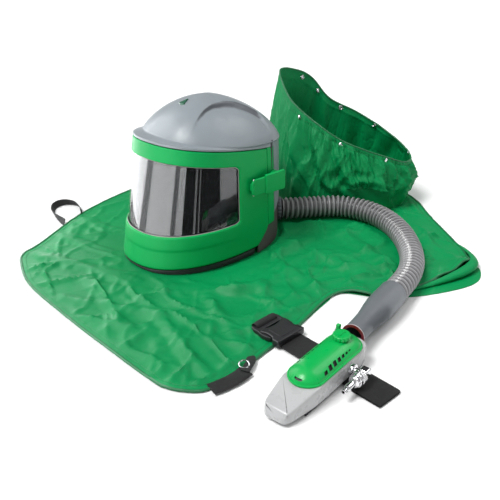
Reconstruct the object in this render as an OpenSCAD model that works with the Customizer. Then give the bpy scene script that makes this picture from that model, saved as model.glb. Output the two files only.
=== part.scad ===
// Air-fed blasting respirator laid out flat: helmet with a side-hinged visor, protective cape with a
// standing neck collar, corrugated breathing tube and a belt-worn air flow valve with its inlet plug.
// Millimetres, +Z up. The origin is on the floor, at the middle of the whole layout's footprint.

/* [Layout] */
// Distance of the layout's middle to the right of the cape's middle
layout_mid_x = -4; // [-60:0.5:60]
// Distance of the layout's middle behind the cape's middle
layout_mid_y = -79.7; // [-120:0.1:60]

/* [Helmet] */
// Half width of the helmet wall at its lower edge
wall_low_half_w = 123; // [118:1:128]
// Half width of the helmet wall below the brim
wall_high_half_w = 113; // [110:1:118]
// Reach of the visor in front of the helmet's middle, at its lower edge
wall_low_front = 180; // [172:1:186]
// Reach of the visor in front of the helmet's middle, below the brim
wall_high_front = 139; // [134:1:144]
// Reach of the shell behind the helmet's middle
wall_back = 150; // [146:1:154]
// Height of the crown above the helmet's base plane
crown_h = 296; // [290:1:302]
// How far the helmet leans back, in degrees
lean = 4; // [0:1:5]
// How far the helmet is turned to face the front left, in degrees
turn = 48; // [40:1:56]
// Thickness of the moulded shell
shell_t = 3; // [2:0.5:4]

/* [Visor] */
// Height of the visor frame's top edge at the front
visor_top_h = 229; // [226:1:232]
// Height of the window's top edge at the front
window_top_h = 201; // [196:1:205]
// Height of the window's lower edge at the front
window_low_h = 64; // [58:1:70]
// Half angle of the window around the helmet
window_half_angle = 86; // [80:1:88]
// Radius of the visor's hinge pin
hinge_pin_r = 2.5; // [2:0.5:3]
// Radius of the hinge knuckles
knuckle_r = 6; // [5:0.5:7]

/* [Air supply] */
// Outside radius of the corrugated breathing tube
tube_r = 23; // [21:0.5:23]
// Outside radius of the helmet's air spigot
spigot_r = 19; // [17:0.5:20]
// Outside radius of the air inlet plug's tip
plug_r = 5.8; // [5:0.1:6.5]
// Width of the belt webbing
belt_w = 50; // [40:1:50]
// Thickness of the belt webbing
belt_t = 2.4; // [2:0.2:2.6]

/* [Cape] */
// Thickness of the coated cape cloth where it lies on the floor
cape_t = 3.2; // [2:0.2:3.4]
// Wall thickness of the cape's neck collar
collar_t = 3; // [2:0.5:4]

/* [Hidden] */
$fn = 48;

grey = [0.47, 0.50, 0.54];
light_grey = [0.66, 0.67, 0.68];
green = [0.02, 0.62, 0.27];
cape_green = [0.05, 0.52, 0.25];
black = [0.06, 0.06, 0.07];
taupe = [0.30, 0.26, 0.27];
metal = [0.80, 0.80, 0.82];

plan_power = 2.3;        // squareness of the helmet's plan outline
dome_power = 1.53;       // roundness of the crown's side outline
dome_half_w = 120;
dome_front = 128;
dome_fullness = 0.3;      // how much rounder the crown is towards its front
dome_back = 151;
dome_base_h = 200;
brim_slope = 0.14;       // the brim and the visor's top edge fall towards the back
rim_slope = 0.06;        // the visor's lower edge rises towards the back
rim_h = 3;
rim_gap = 1.5;           // gap between the visor and the fixed parts above and below it
seam_angle = 110.4;      // the visor's back edges, where the side bands begin
corner_angle = 98.3;     // where the visor's lower edge turns up to its back corner
corner_rise = 28;
helmet_pos = [-85, 51, 0];
hinge_x = -123;
hinge_y = 187;

// Places on the belt-worn valve unit: X runs along it towards the breathing tube
unit_pos = [98, -421, 0];
unit_turn = 51;
unit_base_h = 6.4;
cover_h = 36;
cover_r = 28.5;
cover_low_x = -24;
cover_high_x = 70;
dial_x = 64;
inlet_y = -52;
inlet_z = 22;

belt_pos = [100, -345, 0];
belt_turn = -46;
belt_h = 3.6;

// Route of the breathing tube's middle line
tube_route = [
    [66, 128, 30], [90, 131, 29], [115, 136, 28], [140, 141, 27], [165, 144, 27],
    [190, 144, 27], [212, 138, 27], [232, 128, 27], [251, 113, 27], [268, 94, 27],
    [283, 68, 27], [294, 38, 27], [301, 6, 27], [304, -27, 27], [304, -60, 27],
    [300, -92, 27], [292, -122, 27], [280, -150, 27], [264, -177, 27], [247, -202, 27]
];
cuff_end = [161, -333, 30];

// Outline of the cape where it lies flat, from its left corner towards the wearer's front hem
cape_outline = [
    [-441, -20], [-435, -59], [-401, -132], [-327, -220], [-243, -310], [-151, -404],
    [-122, -426], [-89, -434], [-60, -428], [-15, -385], [32, -327], [84, -259],
    [135, -183], [171, -160], [228, -178], [268, -156], [327, -128], [394, -82],
    [414, -60], [410, 25], [385, 139], [372, 214], [350, 262], [317, 305], [250, 342],
    [150, 352], [60, 330], [-50, 335], [-150, 326], [-240, 300], [-291, 258],
    [-362, 155], [-419, 21]
];
cape_back_outline = [
    [160, -145], [231, -174], [302, -170], [379, -146], [419, -119], [433, -80],
    [423, -47], [408, 25], [383, 139], [370, 214], [348, 258], [160, 258]
];
collar_base = [
    [46, 262], [62, 220], [98, 190], [148, 175], [195, 174], [240, 167], [284, 168],
    [322, 188], [344, 226], [334, 268], [296, 306], [232, 330], [160, 336], [98, 322], [60, 296]
];
collar_rim = [
    [64, 303, 274], [80, 262, 232], [112, 232, 203], [150, 204, 180], [190, 187, 158],
    [238, 176, 141], [290, 184, 121], [330, 203, 103], [350, 228, 103], [340, 260, 116],
    [300, 297, 142], [240, 326, 173], [178, 341, 200], [138, 346, 244], [104, 331, 266]
];

function power_of(v, e) = sign(v) * pow(abs(v), e);
function mix(a, b, s) = a * (1 - s) + b * s;
function joined(rows) = [for (row = rows) each row];
function unit_of(v) = v / norm(v);

// Helmet wall: angle t runs round the helmet from its front, z is the height, inset goes inwards
wall_high_h = 234;
function wall_k(z) = (z - rim_h) / (wall_high_h - rim_h);
function wall_half_w(z) = mix(wall_low_half_w, wall_high_half_w, wall_k(z));
function wall_reach(t, z) = cos(t) > 0 ? mix(wall_low_front, wall_high_front, wall_k(z)) : wall_back;
function oval(t, half_w, reach) =
    [half_w * power_of(sin(t), 2 / plan_power), -reach * power_of(cos(t), 2 / plan_power)];
function wall(t, z, inset) =
    let (p = oval(t, wall_half_w(z) - inset, wall_reach(t, z) - inset)) [p[0], p[1], z];
function wall_y(t, z) = wall(t, z, 0)[1];

function rim_z(t) = rim_h + rim_slope * (wall_y(t, rim_h) + wall_low_front);
function visor_low_z(t) =
    rim_z(t) + max(0, abs(t) - corner_angle) / (seam_angle - corner_angle) * corner_rise;
function visor_top_z(t) = visor_top_h - brim_slope * (wall_y(t, visor_top_h) + wall_high_front);
function window_top_z(t) = window_top_h - brim_slope * (wall_y(t, window_top_h) + wall_high_front);
function window_low_z(t) = window_low_h + rim_slope * (wall_y(t, window_low_h) + wall_low_front);

// Height in the leaning helmet of a point that stands h above the floor
function level_z(x, y, h) = (h + sin(lean) * (cos(turn) * y - sin(turn) * x)) / cos(lean);

// Crown: k runs from 0 at its base to 1 at its top
function dome(t, k, inset) =
    let (e = dome_power + dome_fullness * max(0, cos(t)))
    let (r = pow(1 - pow(k, e), 1 / e))
    let (reach = cos(t) > 0 ? dome_front : dome_back)
    let (p = oval(t, r * (dome_half_w - inset), r * (reach - inset)))
    [p[0], p[1], dome_base_h + k * (crown_h - dome_base_h - inset)];

// Solid between two sheets of points, each a list of rows of the same length
module sheet_solid(outer, inner) {
    rows = len(outer);
    cols = len(outer[0]);
    n = rows * cols;
    last = (rows - 1) * cols;
    polyhedron(
        points = concat(joined(outer), joined(inner)),
        faces = concat(
            [for (i = [0:rows - 2], j = [0:cols - 2])
                let (a = i * cols + j) [a, a + 1, a + cols + 1, a + cols]],
            [for (i = [0:rows - 2], j = [0:cols - 2])
                let (a = n + i * cols + j) [a + cols, a + cols + 1, a + 1, a]],
            [for (j = [0:cols - 2]) [j + 1, j, n + j, n + j + 1]],
            [for (j = [0:cols - 2]) [last + j, last + j + 1, n + last + j + 1, n + last + j]],
            [for (i = [0:rows - 2]) let (a = i * cols) [a, a + cols, n + a + cols, n + a]],
            [for (i = [0:rows - 2])
                let (b = i * cols + cols - 1) [b + cols, b, n + b, n + b + cols]]
        ),
        convexity = 8
    );
}

// Closed loop of closed sections: a frame, a ring or a collar
module loop_solid(sections) {
    rows = len(sections);
    cols = len(sections[0]);
    polyhedron(
        points = joined(sections),
        faces = [for (i = [0:rows - 1], j = [0:cols - 1])
            let (a = i * cols, b = (i + 1) % rows * cols, k = (j + 1) % cols)
            [a + j, a + k, b + k, b + j]],
        convexity = 8
    );
}

// Tube through closed sections, with flat ends
module tube_solid(sections) {
    rows = len(sections);
    cols = len(sections[0]);
    polyhedron(
        points = joined(sections),
        faces = concat(
            [for (i = [0:rows - 2], j = [0:cols - 1])
                let (a = i * cols, b = a + cols, k = (j + 1) % cols) [a + j, a + k, b + k, b + j]],
            [[for (j = [cols - 1:-1:0]) j]],
            [[for (j = [0:cols - 1]) (rows - 1) * cols + j]]
        ),
        convexity = 8
    );
}

// Hollow cup: rings from its edge to its top, outside and inside, each closed by one top point
module cup_solid(outer, outer_top, inner, inner_top) {
    rows = len(outer);
    cols = len(outer[0]);
    n = rows * cols;
    last = (rows - 1) * cols;
    polyhedron(
        points = concat(joined(outer), joined(inner), [outer_top, inner_top]),
        faces = concat(
            [for (i = [0:rows - 2], j = [0:cols - 1])
                let (a = i * cols, k = (j + 1) % cols) [a + j, a + k, a + cols + k, a + cols + j]],
            [for (j = [0:cols - 1]) [last + j, last + (j + 1) % cols, 2 * n]],
            [for (i = [0:rows - 2], j = [0:cols - 1])
                let (a = n + i * cols, k = (j + 1) % cols)
                [a + cols + j, a + cols + k, a + k, a + j]],
            [for (j = [0:cols - 1]) [n + last + (j + 1) % cols, n + last + j, 2 * n + 1]],
            [for (j = [0:cols - 1]) [(j + 1) % cols, j, n + j, n + (j + 1) % cols]]
        ),
        convexity = 8
    );
}

// Frames of reference
module kit() translate([-layout_mid_x, -layout_mid_y, 0]) children();
module helmet() kit() translate(helmet_pos) rotate([-lean, 0, 0]) rotate([0, 0, -turn]) children();
module hinge() kit() translate([hinge_x, hinge_y, 0]) rotate([0, 0, -turn]) children();
module unit() kit() translate(unit_pos) rotate([0, 0, unit_turn]) children();
module belt() kit() translate(belt_pos) rotate([0, 0, belt_turn]) children();

// ---- Helmet shell and what is fixed to it ----

shell_step = 6.06;
band_end_angle = 121.2;
shell_angles = concat(
    [for (t = [-band_end_angle:shell_step:band_end_angle + 0.1]) t],
    [band_end_angle + 0.4],
    [for (t = [127:5.3:233.5]) t],
    [360 - band_end_angle - 0.4]
);
brim_t = 4.5;
brim_rise_back = 6.5;
crown_ks = [0.2, 0.4, 0.58, 0.74, 0.87, 0.96];

function behind_band(t) = t > band_end_angle + 0.2 && t < 360 - band_end_angle - 0.2;
function shell_low_z(t) =
    behind_band(t) ? 50 + 0.6 * (wall_y(t, 60) - 60) : visor_top_z(t) + rim_gap;
function shell_ring(row, inset) = [for (t = shell_angles)
    let (rise = brim_rise_back * max(0, min(1, wall_y(t, visor_top_h) / wall_back)))
    let (brim = visor_top_z(t) + rim_gap + brim_t + rise - (row > 0 ? inset : 0))
    let (k0 = (brim + 2 - dome_base_h) / (crown_h - dome_base_h))
    row == 0 ? wall(t, shell_low_z(t), inset)
    : row == 1 ? wall(t, mix(shell_low_z(t), brim, 0.5), inset)
    : row == 2 ? wall(t, brim, inset)
    : dome(t, row == 3 ? max(0.02, k0) : mix(max(0.02, k0), 1, crown_ks[row - 4]), inset)];

module helmet_shell() color(grey) helmet()
    cup_solid(
        [for (row = [0:9]) shell_ring(row, 0)], [0, 0, crown_h],
        [for (row = [0:9]) shell_ring(row, shell_t)], [0, 0, crown_h - shell_t]
    );

module side_band() {
    angles = [for (i = [0:3]) mix(seam_angle + 0.4, band_end_angle - 0.4, i / 3)];
    function band(inset) = [for (s = [0:0.2:1.01])
        [for (t = angles) wall(t, mix(48, visor_top_z(t) + 1, s), inset)]];
    sheet_solid(band(0), band(shell_t));
}
module side_band_left() color(green) helmet() side_band();
module side_band_right() color(green) helmet() mirror([1, 0, 0]) side_band();

module crown_badge() color("darkgreen") helmet()
    translate([0, -54, 283.6]) rotate([26, 0, 0])
        linear_extrude(3) polygon([[-8, 0], [8, 0], [0, 16]]);

// Fixed inner frame round the wearer's face
surround_half_w = 96;
surround_front = 70;
wing = [[97, 40], [98, 62], [106.5, 78]];
function surround(t, z, inset) =
    let (w = (abs(t) - 90) / 10, i = floor(w), side = sign(t))
    let (near = i <= 0 ? [surround_half_w, 0] : wing[i - 1], far = wing[min(max(i, 0), 2)])
    let (p = abs(t) <= 90 ? oval(t, surround_half_w, surround_front) : mix(near, far, w - i))
    let (q = abs(t) <= 90 ? p : [side * p[0], p[1]])
    let (r = norm(q)) [q[0] * (1 - inset / r), q[1] * (1 - inset / r), z];

face_half_angle = 62;
surround_top = 214;
face_low = 62;
face_high = 184;
// Loop of angle and height pairs round a window: s counts its four sides, from 0 to 4
function window_spot(s, half_angle, low, high) =
    s < 1 ? [mix(-half_angle, half_angle, s), high]
    : s < 2 ? [half_angle, mix(high, low, s - 1)]
    : s < 3 ? [mix(half_angle, -half_angle, s - 2), low]
    : [-half_angle, mix(low, high, s - 3)];
loop_steps = concat(
    [for (i = [0:21]) i / 22], [for (i = [0:5]) 1 + i / 6],
    [for (i = [0:21]) 2 + i / 22], [for (i = [0:5]) 3 + i / 6]
);

module face_surround() {
    steps = [0, 0.4, 0.8, 1];
    function spot(s, k) = mix(window_spot(s, face_half_angle, face_low, face_high),
        window_spot(s, 119, 22, surround_top), k);
    color(grey) helmet() loop_solid([for (s = loop_steps) concat(
        [for (k = steps) let (q = spot(s, k)) surround(q[0], q[1], 0)],
        [for (i = [3:-1:0]) let (q = spot(s, steps[i])) surround(q[0], q[1], 2.5)])]);
}

module face_seal() {
    function spot(s, m) =
        window_spot(s, face_half_angle + m, face_low - 1.2 * m, face_high + 1.2 * m);
    color(black) helmet() loop_solid([for (s = loop_steps) concat(
        [for (m = [1, 6]) let (q = spot(s, m)) surround(q[0], q[1], -3)],
        [for (m = [6, 1]) let (q = spot(s, m)) surround(q[0], q[1], -0.2)])]);
}

chin_angles = [for (i = [-16:16]) i * 6];
function chin_points(t, z) = [wall(t, z, 1.5), wall(t, z, 14), surround(t * 0.92, z, -0.3)];
function chin_row(t, drop, lowest) =
    [for (p = chin_points(t, rim_z(t) - drop)) [p[0], p[1], max(p[2], level_z(p[0], p[1], lowest))]];
module chin_plate() color(black) helmet()
    sheet_solid(
        [for (t = chin_angles) chin_row(t, 3.5, cape_t + 0.6)],
        [for (t = chin_angles) chin_row(t, rim_gap, cape_t + 2)]
    );

function level_point(t, inset, h) =
    let (p = wall(t, rim_h, inset)) [p[0], p[1], level_z(p[0], p[1], h)];
function floor_point(t, inset) = level_point(t, inset, cape_t + 0.2);
function seal_top(t, inset) = let (low = level_point(t, inset, cape_t + 0.5))
    [low[0], low[1], max(low[2], rim_z(t) - 3.7)];
module rim_seal() color(black) helmet()
    sheet_solid(
        [for (t = chin_angles) [seal_top(t, 2), seal_top(t, 8)]],
        [for (t = chin_angles) [floor_point(t, 2), floor_point(t, 8)]]
    );

module neck_collar() {
    angles = [for (i = [0:28]) mix(corner_angle + 1.2, 360 - corner_angle - 1.2, i / 28)];
    function back_t(t) = t > 180 ? 360 - t : t;
    function top_z(t) = let (b = back_t(t))
        b < seam_angle ? max(visor_low_z(b) - rim_gap, rim_z(b) - 1)
        : 46 + 0.6 * max(0, wall_y(b, 60) - 60);
    function rows(inset) = [for (s = [0, 0.5, 1]) [for (t = angles)
        let (low = floor_point(t, inset)) let (high = wall(t, top_z(t), inset)) mix(low, high, s)]];
    color(taupe) helmet() sheet_solid(rows(3.2), rows(6));
}

module hinge_knuckles(heights, length, arm, bore) {
    difference() {
        union() for (z = heights) translate([0, 0, z]) {
            cylinder(r = knuckle_r, h = length);
            linear_extrude(length) polygon([for (p = arm) p[0] > 5 ? p + (z - 50) * wall_drift : p]);
        }
        translate([0, 0, -1]) cylinder(r = bore, h = 250);
    }
}

// Fixed knuckles reach back to the side band, the visor's knuckles reach forward to its frame
wall_drift = [-0.011, 0.047];    // how far the leaning wall moves for each millimetre of height
bracket_arm = [[-3, 4], [3, -1.4], [10.6, 3.4], [15.6, 12.4], [17, 16], [10, 14]];
leaf_arm = [[-4, 3], [-4, -8], [-1, -20], [7, -24], [9, -12], [10.5, -6], [4, 0]];
module hinge_bracket() color(green) hinge()
    hinge_knuckles([50, 90, 130, 170], 16, bracket_arm, hinge_pin_r);
module hinge_leaf() color(green) hinge()
    hinge_knuckles([66.5, 106.5, 146.5], 23, leaf_arm, hinge_pin_r + 0.05);
module hinge_pin() color(metal) hinge() {
    translate([0, 0, 47]) cylinder(r = hinge_pin_r, h = 142);
    translate([0, 0, 186.3]) cylinder(r = hinge_pin_r + 1.5, h = 2.7);
}

// ---- Visor ----

frame_t = 3.5;
function frame_spot(s, k) =
    let (half = mix(window_half_angle, seam_angle, k))
    let (q = window_spot(s, half, 0, 1))
    let (inner_t = s < 1 || (s >= 2 && s < 3) ? q[0] * window_half_angle / half : q[0])
    let (t = q[0])
    let (high = mix(window_top_z(inner_t), visor_top_z(t), k))
    let (low = mix(window_low_z(inner_t), visor_low_z(t), k))
    [t, mix(low, high, q[1])];

module visor_frame() {
    steps = [0, 0.35, 0.7, 1];
    color(green) helmet() loop_solid([for (s = loop_steps) concat(
        [for (k = steps) let (q = frame_spot(s, k)) wall(q[0], q[1], 0)],
        [for (i = [3:-1:0]) let (q = frame_spot(s, steps[i])) wall(q[0], q[1], frame_t)])]);
}

// Ring behind the window's edge: from edge - over to edge + under
module window_ring(over, under, inset, thick) {
    function spot(s, m) =
        let (q = window_spot(s, window_half_angle + 0.35 * m, 0, 1))
        let (t = q[0])
        [t, mix(window_low_z(t) - m, window_top_z(t) + m, q[1])];
    loop_solid([for (s = loop_steps) concat(
        [for (m = [-over, under]) let (q = spot(s, m)) wall(q[0], q[1], inset)],
        [for (m = [under, -over]) let (q = spot(s, m)) wall(q[0], q[1], inset + thick)])]);
}

// Curved pane that covers the window with a margin round its edge
module pane(margin, inset, thick) {
    half = window_half_angle + 0.35 * margin;
    function rows(d) = [for (s = [0:0.25:1]) [for (i = [-14:14])
        let (t = half * i / 14)
        wall(t, mix(window_low_z(t) - margin, window_top_z(t) + margin, s), d)]];
    sheet_solid(rows(inset), rows(inset + thick));
}

module lens_gasket() color(black) helmet() window_ring(-1, 9, 3.6, 1.6);
module outer_lens() color([0.6, 0.62, 0.65, 0.5]) helmet() pane(8, 5.3, 1.6);
module tear_off_lens() color([0.8, 0.8, 0.82, 0.35]) helmet() pane(-0.8, 2.4, 0.5);
module lens_retainer() color(black) helmet() window_ring(2, 8, 7, 2);
module inner_lens() color([0.7, 0.72, 0.75, 0.4]) helmet() pane(6, 9.1, 1.2);
module tear_off_tab() {
    function rows(d) = [for (z = [122, 142]) [for (t = [-66, -63, -60]) wall(t, z, d)]];
    color([0.85, 0.85, 0.86]) helmet() sheet_solid(rows(-3), rows(2.3));
}

// ---- Latch on the wearer's left ----

latch_x = 126;
latch_y = 10;
latch_low = 122;
latch_high = 159;
module latch_lug() color(green) helmet() difference() {
    union() {
        translate([latch_x, latch_y, 134]) cylinder(r = 3.6, h = 13);
        translate([119.6, latch_y - 3.6, 134]) cube([6.4, 7.2, 13]);
    }
    translate([latch_x, latch_y, 100]) cylinder(r = 1.5, h = 70);
}
module latch_pin() color(metal) helmet()
    translate([latch_x, latch_y, 124]) cylinder(r = 1.5, h = 33);
module latch_lever() color(green) helmet() difference() {
    union() {
        translate([latch_x, latch_y, latch_low]) cylinder(r = 4.5, h = latch_high - latch_low);
        translate([latch_x - 2, latch_y, latch_low]) cube([5, 70, latch_high - latch_low]);
        translate([latch_x - 2.5, 74, latch_low]) cube([3, 14, latch_high - latch_low]);
    }
    translate([latch_x, latch_y, latch_low - 1]) cylinder(r = 1.55, h = 60);
    translate([latch_x - 10, latch_y - 8, 133.5]) cube([20, 14.5, 14]);
}
module latch_keeper() color(green) helmet() translate([0, 0, latch_low + 4]) {
    linear_extrude(29) polygon([[113, 63], [123, 66], [123, 82], [103.5, 82]]);
}

// ---- Head harness and air duct inside the helmet ----

harness_pos = [0, 30, 0];
function band_point(t, half_w, reach, z) =
    let (p = oval(t, half_w, reach)) [p[0], p[1] + harness_pos[1], z];
module headband() color(black) helmet()
    loop_solid([for (i = [0:35]) let (t = i * 10) [
        band_point(t, 78, 92, 188), band_point(t, 78, 92, 208),
        band_point(t, 76, 90, 208), band_point(t, 76, 90, 188)]]);
module brow_pad() {
    angles = [for (i = [-6:6]) i * 9];
    function rows(d) = [for (z = [186, 205]) [for (t = angles) band_point(t, 76 - d, 90 - d, z)]];
    color(taupe) helmet() sheet_solid(rows(0.3), rows(6));
}
// Webbing arch over the head, in the plane at the given angle
module arch_strap(angle, half_span, top_z, half_w) {
    base_z = 206;
    function arch(d, a, w) =
        [(half_span - d) * cos(a), w, base_z + (top_z - base_z - d) * sin(a)];
    function rows(d) =
        [for (a = [0:12:180]) [for (w = [-half_w, half_w]) arch(d, a, w)]];
    translate(harness_pos) rotate([0, 0, angle]) sheet_solid(rows(0), rows(1.6));
}
module crown_straps() color(black) helmet() {
    arch_strap(0, 77, 261, 11);
    arch_strap(90, 90, 263.5, 11);
}
module crown_pad() color(taupe) helmet() translate([0, 30, 250.5]) cylinder(r = 26, h = 7);
module ratchet_housing() color(black) helmet() difference() {
    translate([-24, 122.6, 186]) cube([48, 9.4, 24]);
    translate([0, 120, 198]) rotate([-90, 0, 0]) cylinder(r = 4.05, h = 20);
}
module ratchet_knob() color(black) helmet() translate([0, 0, 198]) rotate([-90, 0, 0]) {
    translate([0, 0, 124]) cylinder(r = 4, h = 9);
    difference() {
        translate([0, 0, 132.4]) cylinder(r = 13, h = 10);
        for (i = [0:11]) rotate(i * 30) translate([14, 0, 130]) cylinder(r = 2.2, h = 20, $fn = 16);
    }
}

duct_route = [
    [9, 124, 49], [13, 126, 72], [27, 130, 104], [38, 131, 145], [41, 130.2, 188], [40, 113, 226],
    [37, 88, 248], [35, 52, 263], [32, 18, 269], [30, -20, 263], [27, -52, 246]
];
duct_last = len(duct_route) - 1;
function duct_ring(i) =
    let (p = duct_route[i])
    let (d = unit_of(duct_route[min(i + 1, duct_last)] - duct_route[max(i - 1, 0)]))
    let (flat = i < 3 ? [0, 1, 0] : unit_of([0, d[2], -d[1]]))
    [for (k = [[-11, 4], [11, 4], [11, -4], [-11, -4]]) p + [k[0], 0, 0] + k[1] * flat];
module air_duct() color(light_grey) helmet() tube_solid([for (i = [0:duct_last]) duct_ring(i)]);

// ---- Breathing tube and its fittings ----

tube_start = tube_route[0];
module along_tube() kit() translate(tube_start) rotate([0, 90, 0]) children();
module air_spigot() color(grey) along_tube() difference() {
    union() {
        translate([0, 0, -52]) cylinder(r = spigot_r, h = 51.7);
        translate([0, 0, -27]) cylinder(r = spigot_r + 3.5, h = 4);
    }
    translate([0, 0, -49]) cylinder(r = spigot_r - 2.5, h = 50);
}
module swivel_nut() color(grey) along_tube() difference() {
    translate([0, 0, -8.8]) cylinder(r = spigot_r + 5, h = 8.4);
    translate([0, 0, -22]) cylinder(r = spigot_r + 0.05, h = 24);
    for (i = [0:17]) rotate(i * 20) translate([spigot_r + 6, 0, -6]) cylinder(r = 2, h = 8, $fn = 16);
}

// Ring of points round a route's point, square to the route, with equal heights at its two sides
function ring_at(p, d, r, sides) =
    let (side = unit_of([-d[1], d[0], 0]), up = cross(d, side))
    [for (j = [0:sides - 1]) let (a = 360 * j / sides) p + r * (cos(a) * side + sin(a) * up)];
function route_dir(route, i) =
    unit_of(route[min(i + 1, len(route) - 1)] - route[max(i - 1, 0)]);
tube_last = len(tube_route) - 1;
tube_dirs = [for (i = [0:tube_last])
    i == 0 ? [1, 0, 0] : i == tube_last ? unit_of(cuff_end - tube_route[tube_last]) : route_dir(tube_route, i)];
module breathing_tube() color(light_grey) kit()
    tube_solid([for (i = [0:tube_last]) ring_at(tube_route[i], tube_dirs[i], tube_r, 12)]);

cuff_start = tube_route[tube_last];
cuff_dir = unit_of(cuff_end - cuff_start);
cuff_len = norm(cuff_end - cuff_start);
module along_cuff() kit() translate(cuff_start)
    rotate([0, 0, atan2(cuff_dir[1], cuff_dir[0])]) rotate([0, 90 - asin(cuff_dir[2]), 0]) children();
module lower_cuff() color(grey) along_cuff() rotate_extrude()
    polygon([[18, 0.2], [24, 0.2], [25, 3], [25, 52], [24, 70], [20, 96], [18.5, 120],
        [18.5, cuff_len - 4], [14.5, cuff_len - 4], [14.5, 96], [18, 70]]);
module coupling_ring() color([0.45, 0.05, 0.08]) along_cuff() translate([0, 0, cuff_len - 3.8])
    rotate_extrude() polygon([[15.2, 0], [19.2, 0], [19.2, 3.2], [15.2, 3.2]]);

// ---- Belt-worn valve unit ----

unit_plan = [
    [-104, -14], [-100, -20], [-92, -23], [-50, -29.5], [-30, -30.5], [74, -30.5], [92, -28],
    [101, -21], [104, -12], [104, 12], [101, 23], [92, 29.5], [74, 30.5], [-30, 30.5],
    [-50, 29.5], [-92, 23], [-100, 20], [-104, 14]
];
outlet_y = 5.7;
outlet_z = 30;
module unit_block() intersection() {
    translate([0, 0, unit_base_h]) linear_extrude(60) polygon(unit_plan);
    rotate([90, 0, 0]) linear_extrude(80, center = true)
        polygon([[-110, 0], [110, 0], [110, cover_h - 4], [98, cover_h], [-48, cover_h],
            [-99, 25], [-110, 20]]);
}
module valve_housing() color(light_grey) unit() difference() {
    union() {
        unit_block();
        for (y = [20, 28.4]) translate([92, y, 30]) cube([6, 2, 13]);
        translate([46, -36, inlet_z]) rotate([-90, 0, 0]) cylinder(r = 9, h = 10);
        translate([99.5, outlet_y, outlet_z]) rotate([0, 90, 5.7]) cylinder(r = 13.8, h = 20);
    }
    translate([-50, -24, unit_base_h + 3]) cube([140, 48, 60]);
    translate([-88, -16, unit_base_h + 3]) cube([44, 32, 13]);
    translate([-112, -9, unit_base_h + 5]) cube([30, 18, 5]);
    translate([85, outlet_y, outlet_z]) rotate([0, 90, 5.7]) cylinder(r = 5, h = 20);
    translate([103.6, outlet_y, outlet_z]) rotate([0, 90, 5.7]) cylinder(r = 11.5, h = 20);
    translate([46, -40, inlet_z]) rotate([-90, 0, 0]) cylinder(r = 5.5, h = 30);
    translate([95, 0, 40]) rotate([-90, 0, 0]) cylinder(r = 1.5, h = 40);
    for (x = [-48, 14], y = [-16, 16]) translate([x, y, 0]) cylinder(r = 1.6, h = 8.6);
}

dome_r = 34;
dome_z = cover_h + 3 - sqrt(dome_r * dome_r - cover_r * cover_r);
function stadium_ring(r, z) = concat(
    [for (a = [-90:15:90]) [cover_high_x + r * cos(a), r * sin(a), z]],
    [for (a = [90:15:270]) [cover_low_x + r * cos(a), r * sin(a), z]]);
// Dome rings rise from the cover's rim; back is the wall's thickness behind the outer face
function cover_rings(back) = concat(
    [stadium_ring(cover_r - back, cover_h + 0.1), stadium_ring(cover_r - back, cover_h + 3 - back)],
    [for (a = [38, 46, 54, 62, 70, 78, 86])
        stadium_ring((dome_r - back) * cos(a), dome_z + (dome_r - back) * sin(a))]);
module valve_cover() color(green) unit() difference() {
    cup_solid(cover_rings(0), [23, 0, dome_z + dome_r], cover_rings(2.5), [23, 0, dome_z + dome_r - 2.5]);
    translate([dial_x, 0, 0]) cylinder(r = 3.05, h = 90);
}
dome_top = dome_z + dome_r;
module flow_dial() color(green) unit() translate([dial_x, 0, 0]) {
    translate([0, 0, 28]) cylinder(r = 3, h = dome_top - 24);
    difference() {
        translate([0, 0, dome_top + 0.4]) cylinder(r = 14, h = 8);
        for (i = [0:11]) rotate(i * 30) translate([15, 0, dome_top]) cylinder(r = 1.8, h = 12, $fn = 16);
    }
}
module valve_cartridge() color(metal) unit() translate([dial_x, 0, 0]) difference() {
    translate([0, 0, unit_base_h + 3.2]) cylinder(r = 14, h = 25);
    translate([0, 0, 24]) cylinder(r = 4, h = 20);
}
module vortex_tube() color(metal) unit() translate([-42, 0, 21]) rotate([0, 90, 0]) difference() {
    cylinder(r = 10, h = 88);
    translate([0, 0, -1]) cylinder(r = 6, h = 90);
}
module silencer_foam() color(black) unit() translate([-84, -15.5, unit_base_h + 3.3])
    cube([38, 31, 12]);

module release_lever() color(green) unit() difference() {
    union() {
        translate([95, 22.2, 40]) rotate([-90, 0, 0]) cylinder(r = 2.6, h = 6);
        translate([93.2, 22.2, 39]) cube([4, 6, 12]);
    }
    translate([95, 0, 40]) rotate([-90, 0, 0]) cylinder(r = 1.55, h = 40);
}
module release_pin() color(metal) unit()
    translate([95, 20.2, 40]) rotate([-90, 0, 0]) cylinder(r = 1.5, h = 10);

module inlet_elbow() color(metal) unit() difference() {
    union() {
        translate([46, inlet_y, inlet_z]) rotate([-90, 0, 0]) cylinder(r = 5.4, h = 30);
        translate([44, inlet_y - 7.5, inlet_z - 7.5]) cube([13, 15, 15]);
    }
    translate([46, inlet_y, inlet_z]) rotate([-90, 0, 0]) cylinder(r = 3, h = 40);
}
module inlet_plug() color(metal) unit() translate([0, inlet_y, inlet_z]) rotate([0, -90, 0])
    difference() {
        rotate_extrude() polygon([[0, -44], [6, -44], [6, -23.6], [9, -23.6], [9, -20],
            [5, -18], [plug_r, -14], [plug_r, -2], [4, 1], [4, 4], [4.6, 6], [4, 8], [0, 8]]);
        translate([0, 0, -43]) cylinder(r = 2.5, h = 60);
    }
module inlet_sleeve() color(metal) unit() translate([0, inlet_y, inlet_z]) rotate([0, -90, 0])
    difference() {
        union() {
            translate([0, 0, -40.2]) cylinder(r = 12, h = 9);
            translate([0, 0, -31.2]) cylinder(r = 11.5, h = 7.2, $fn = 6);
        }
        translate([0, 0, -60]) cylinder(r = 6.05, h = 60);
    }

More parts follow.
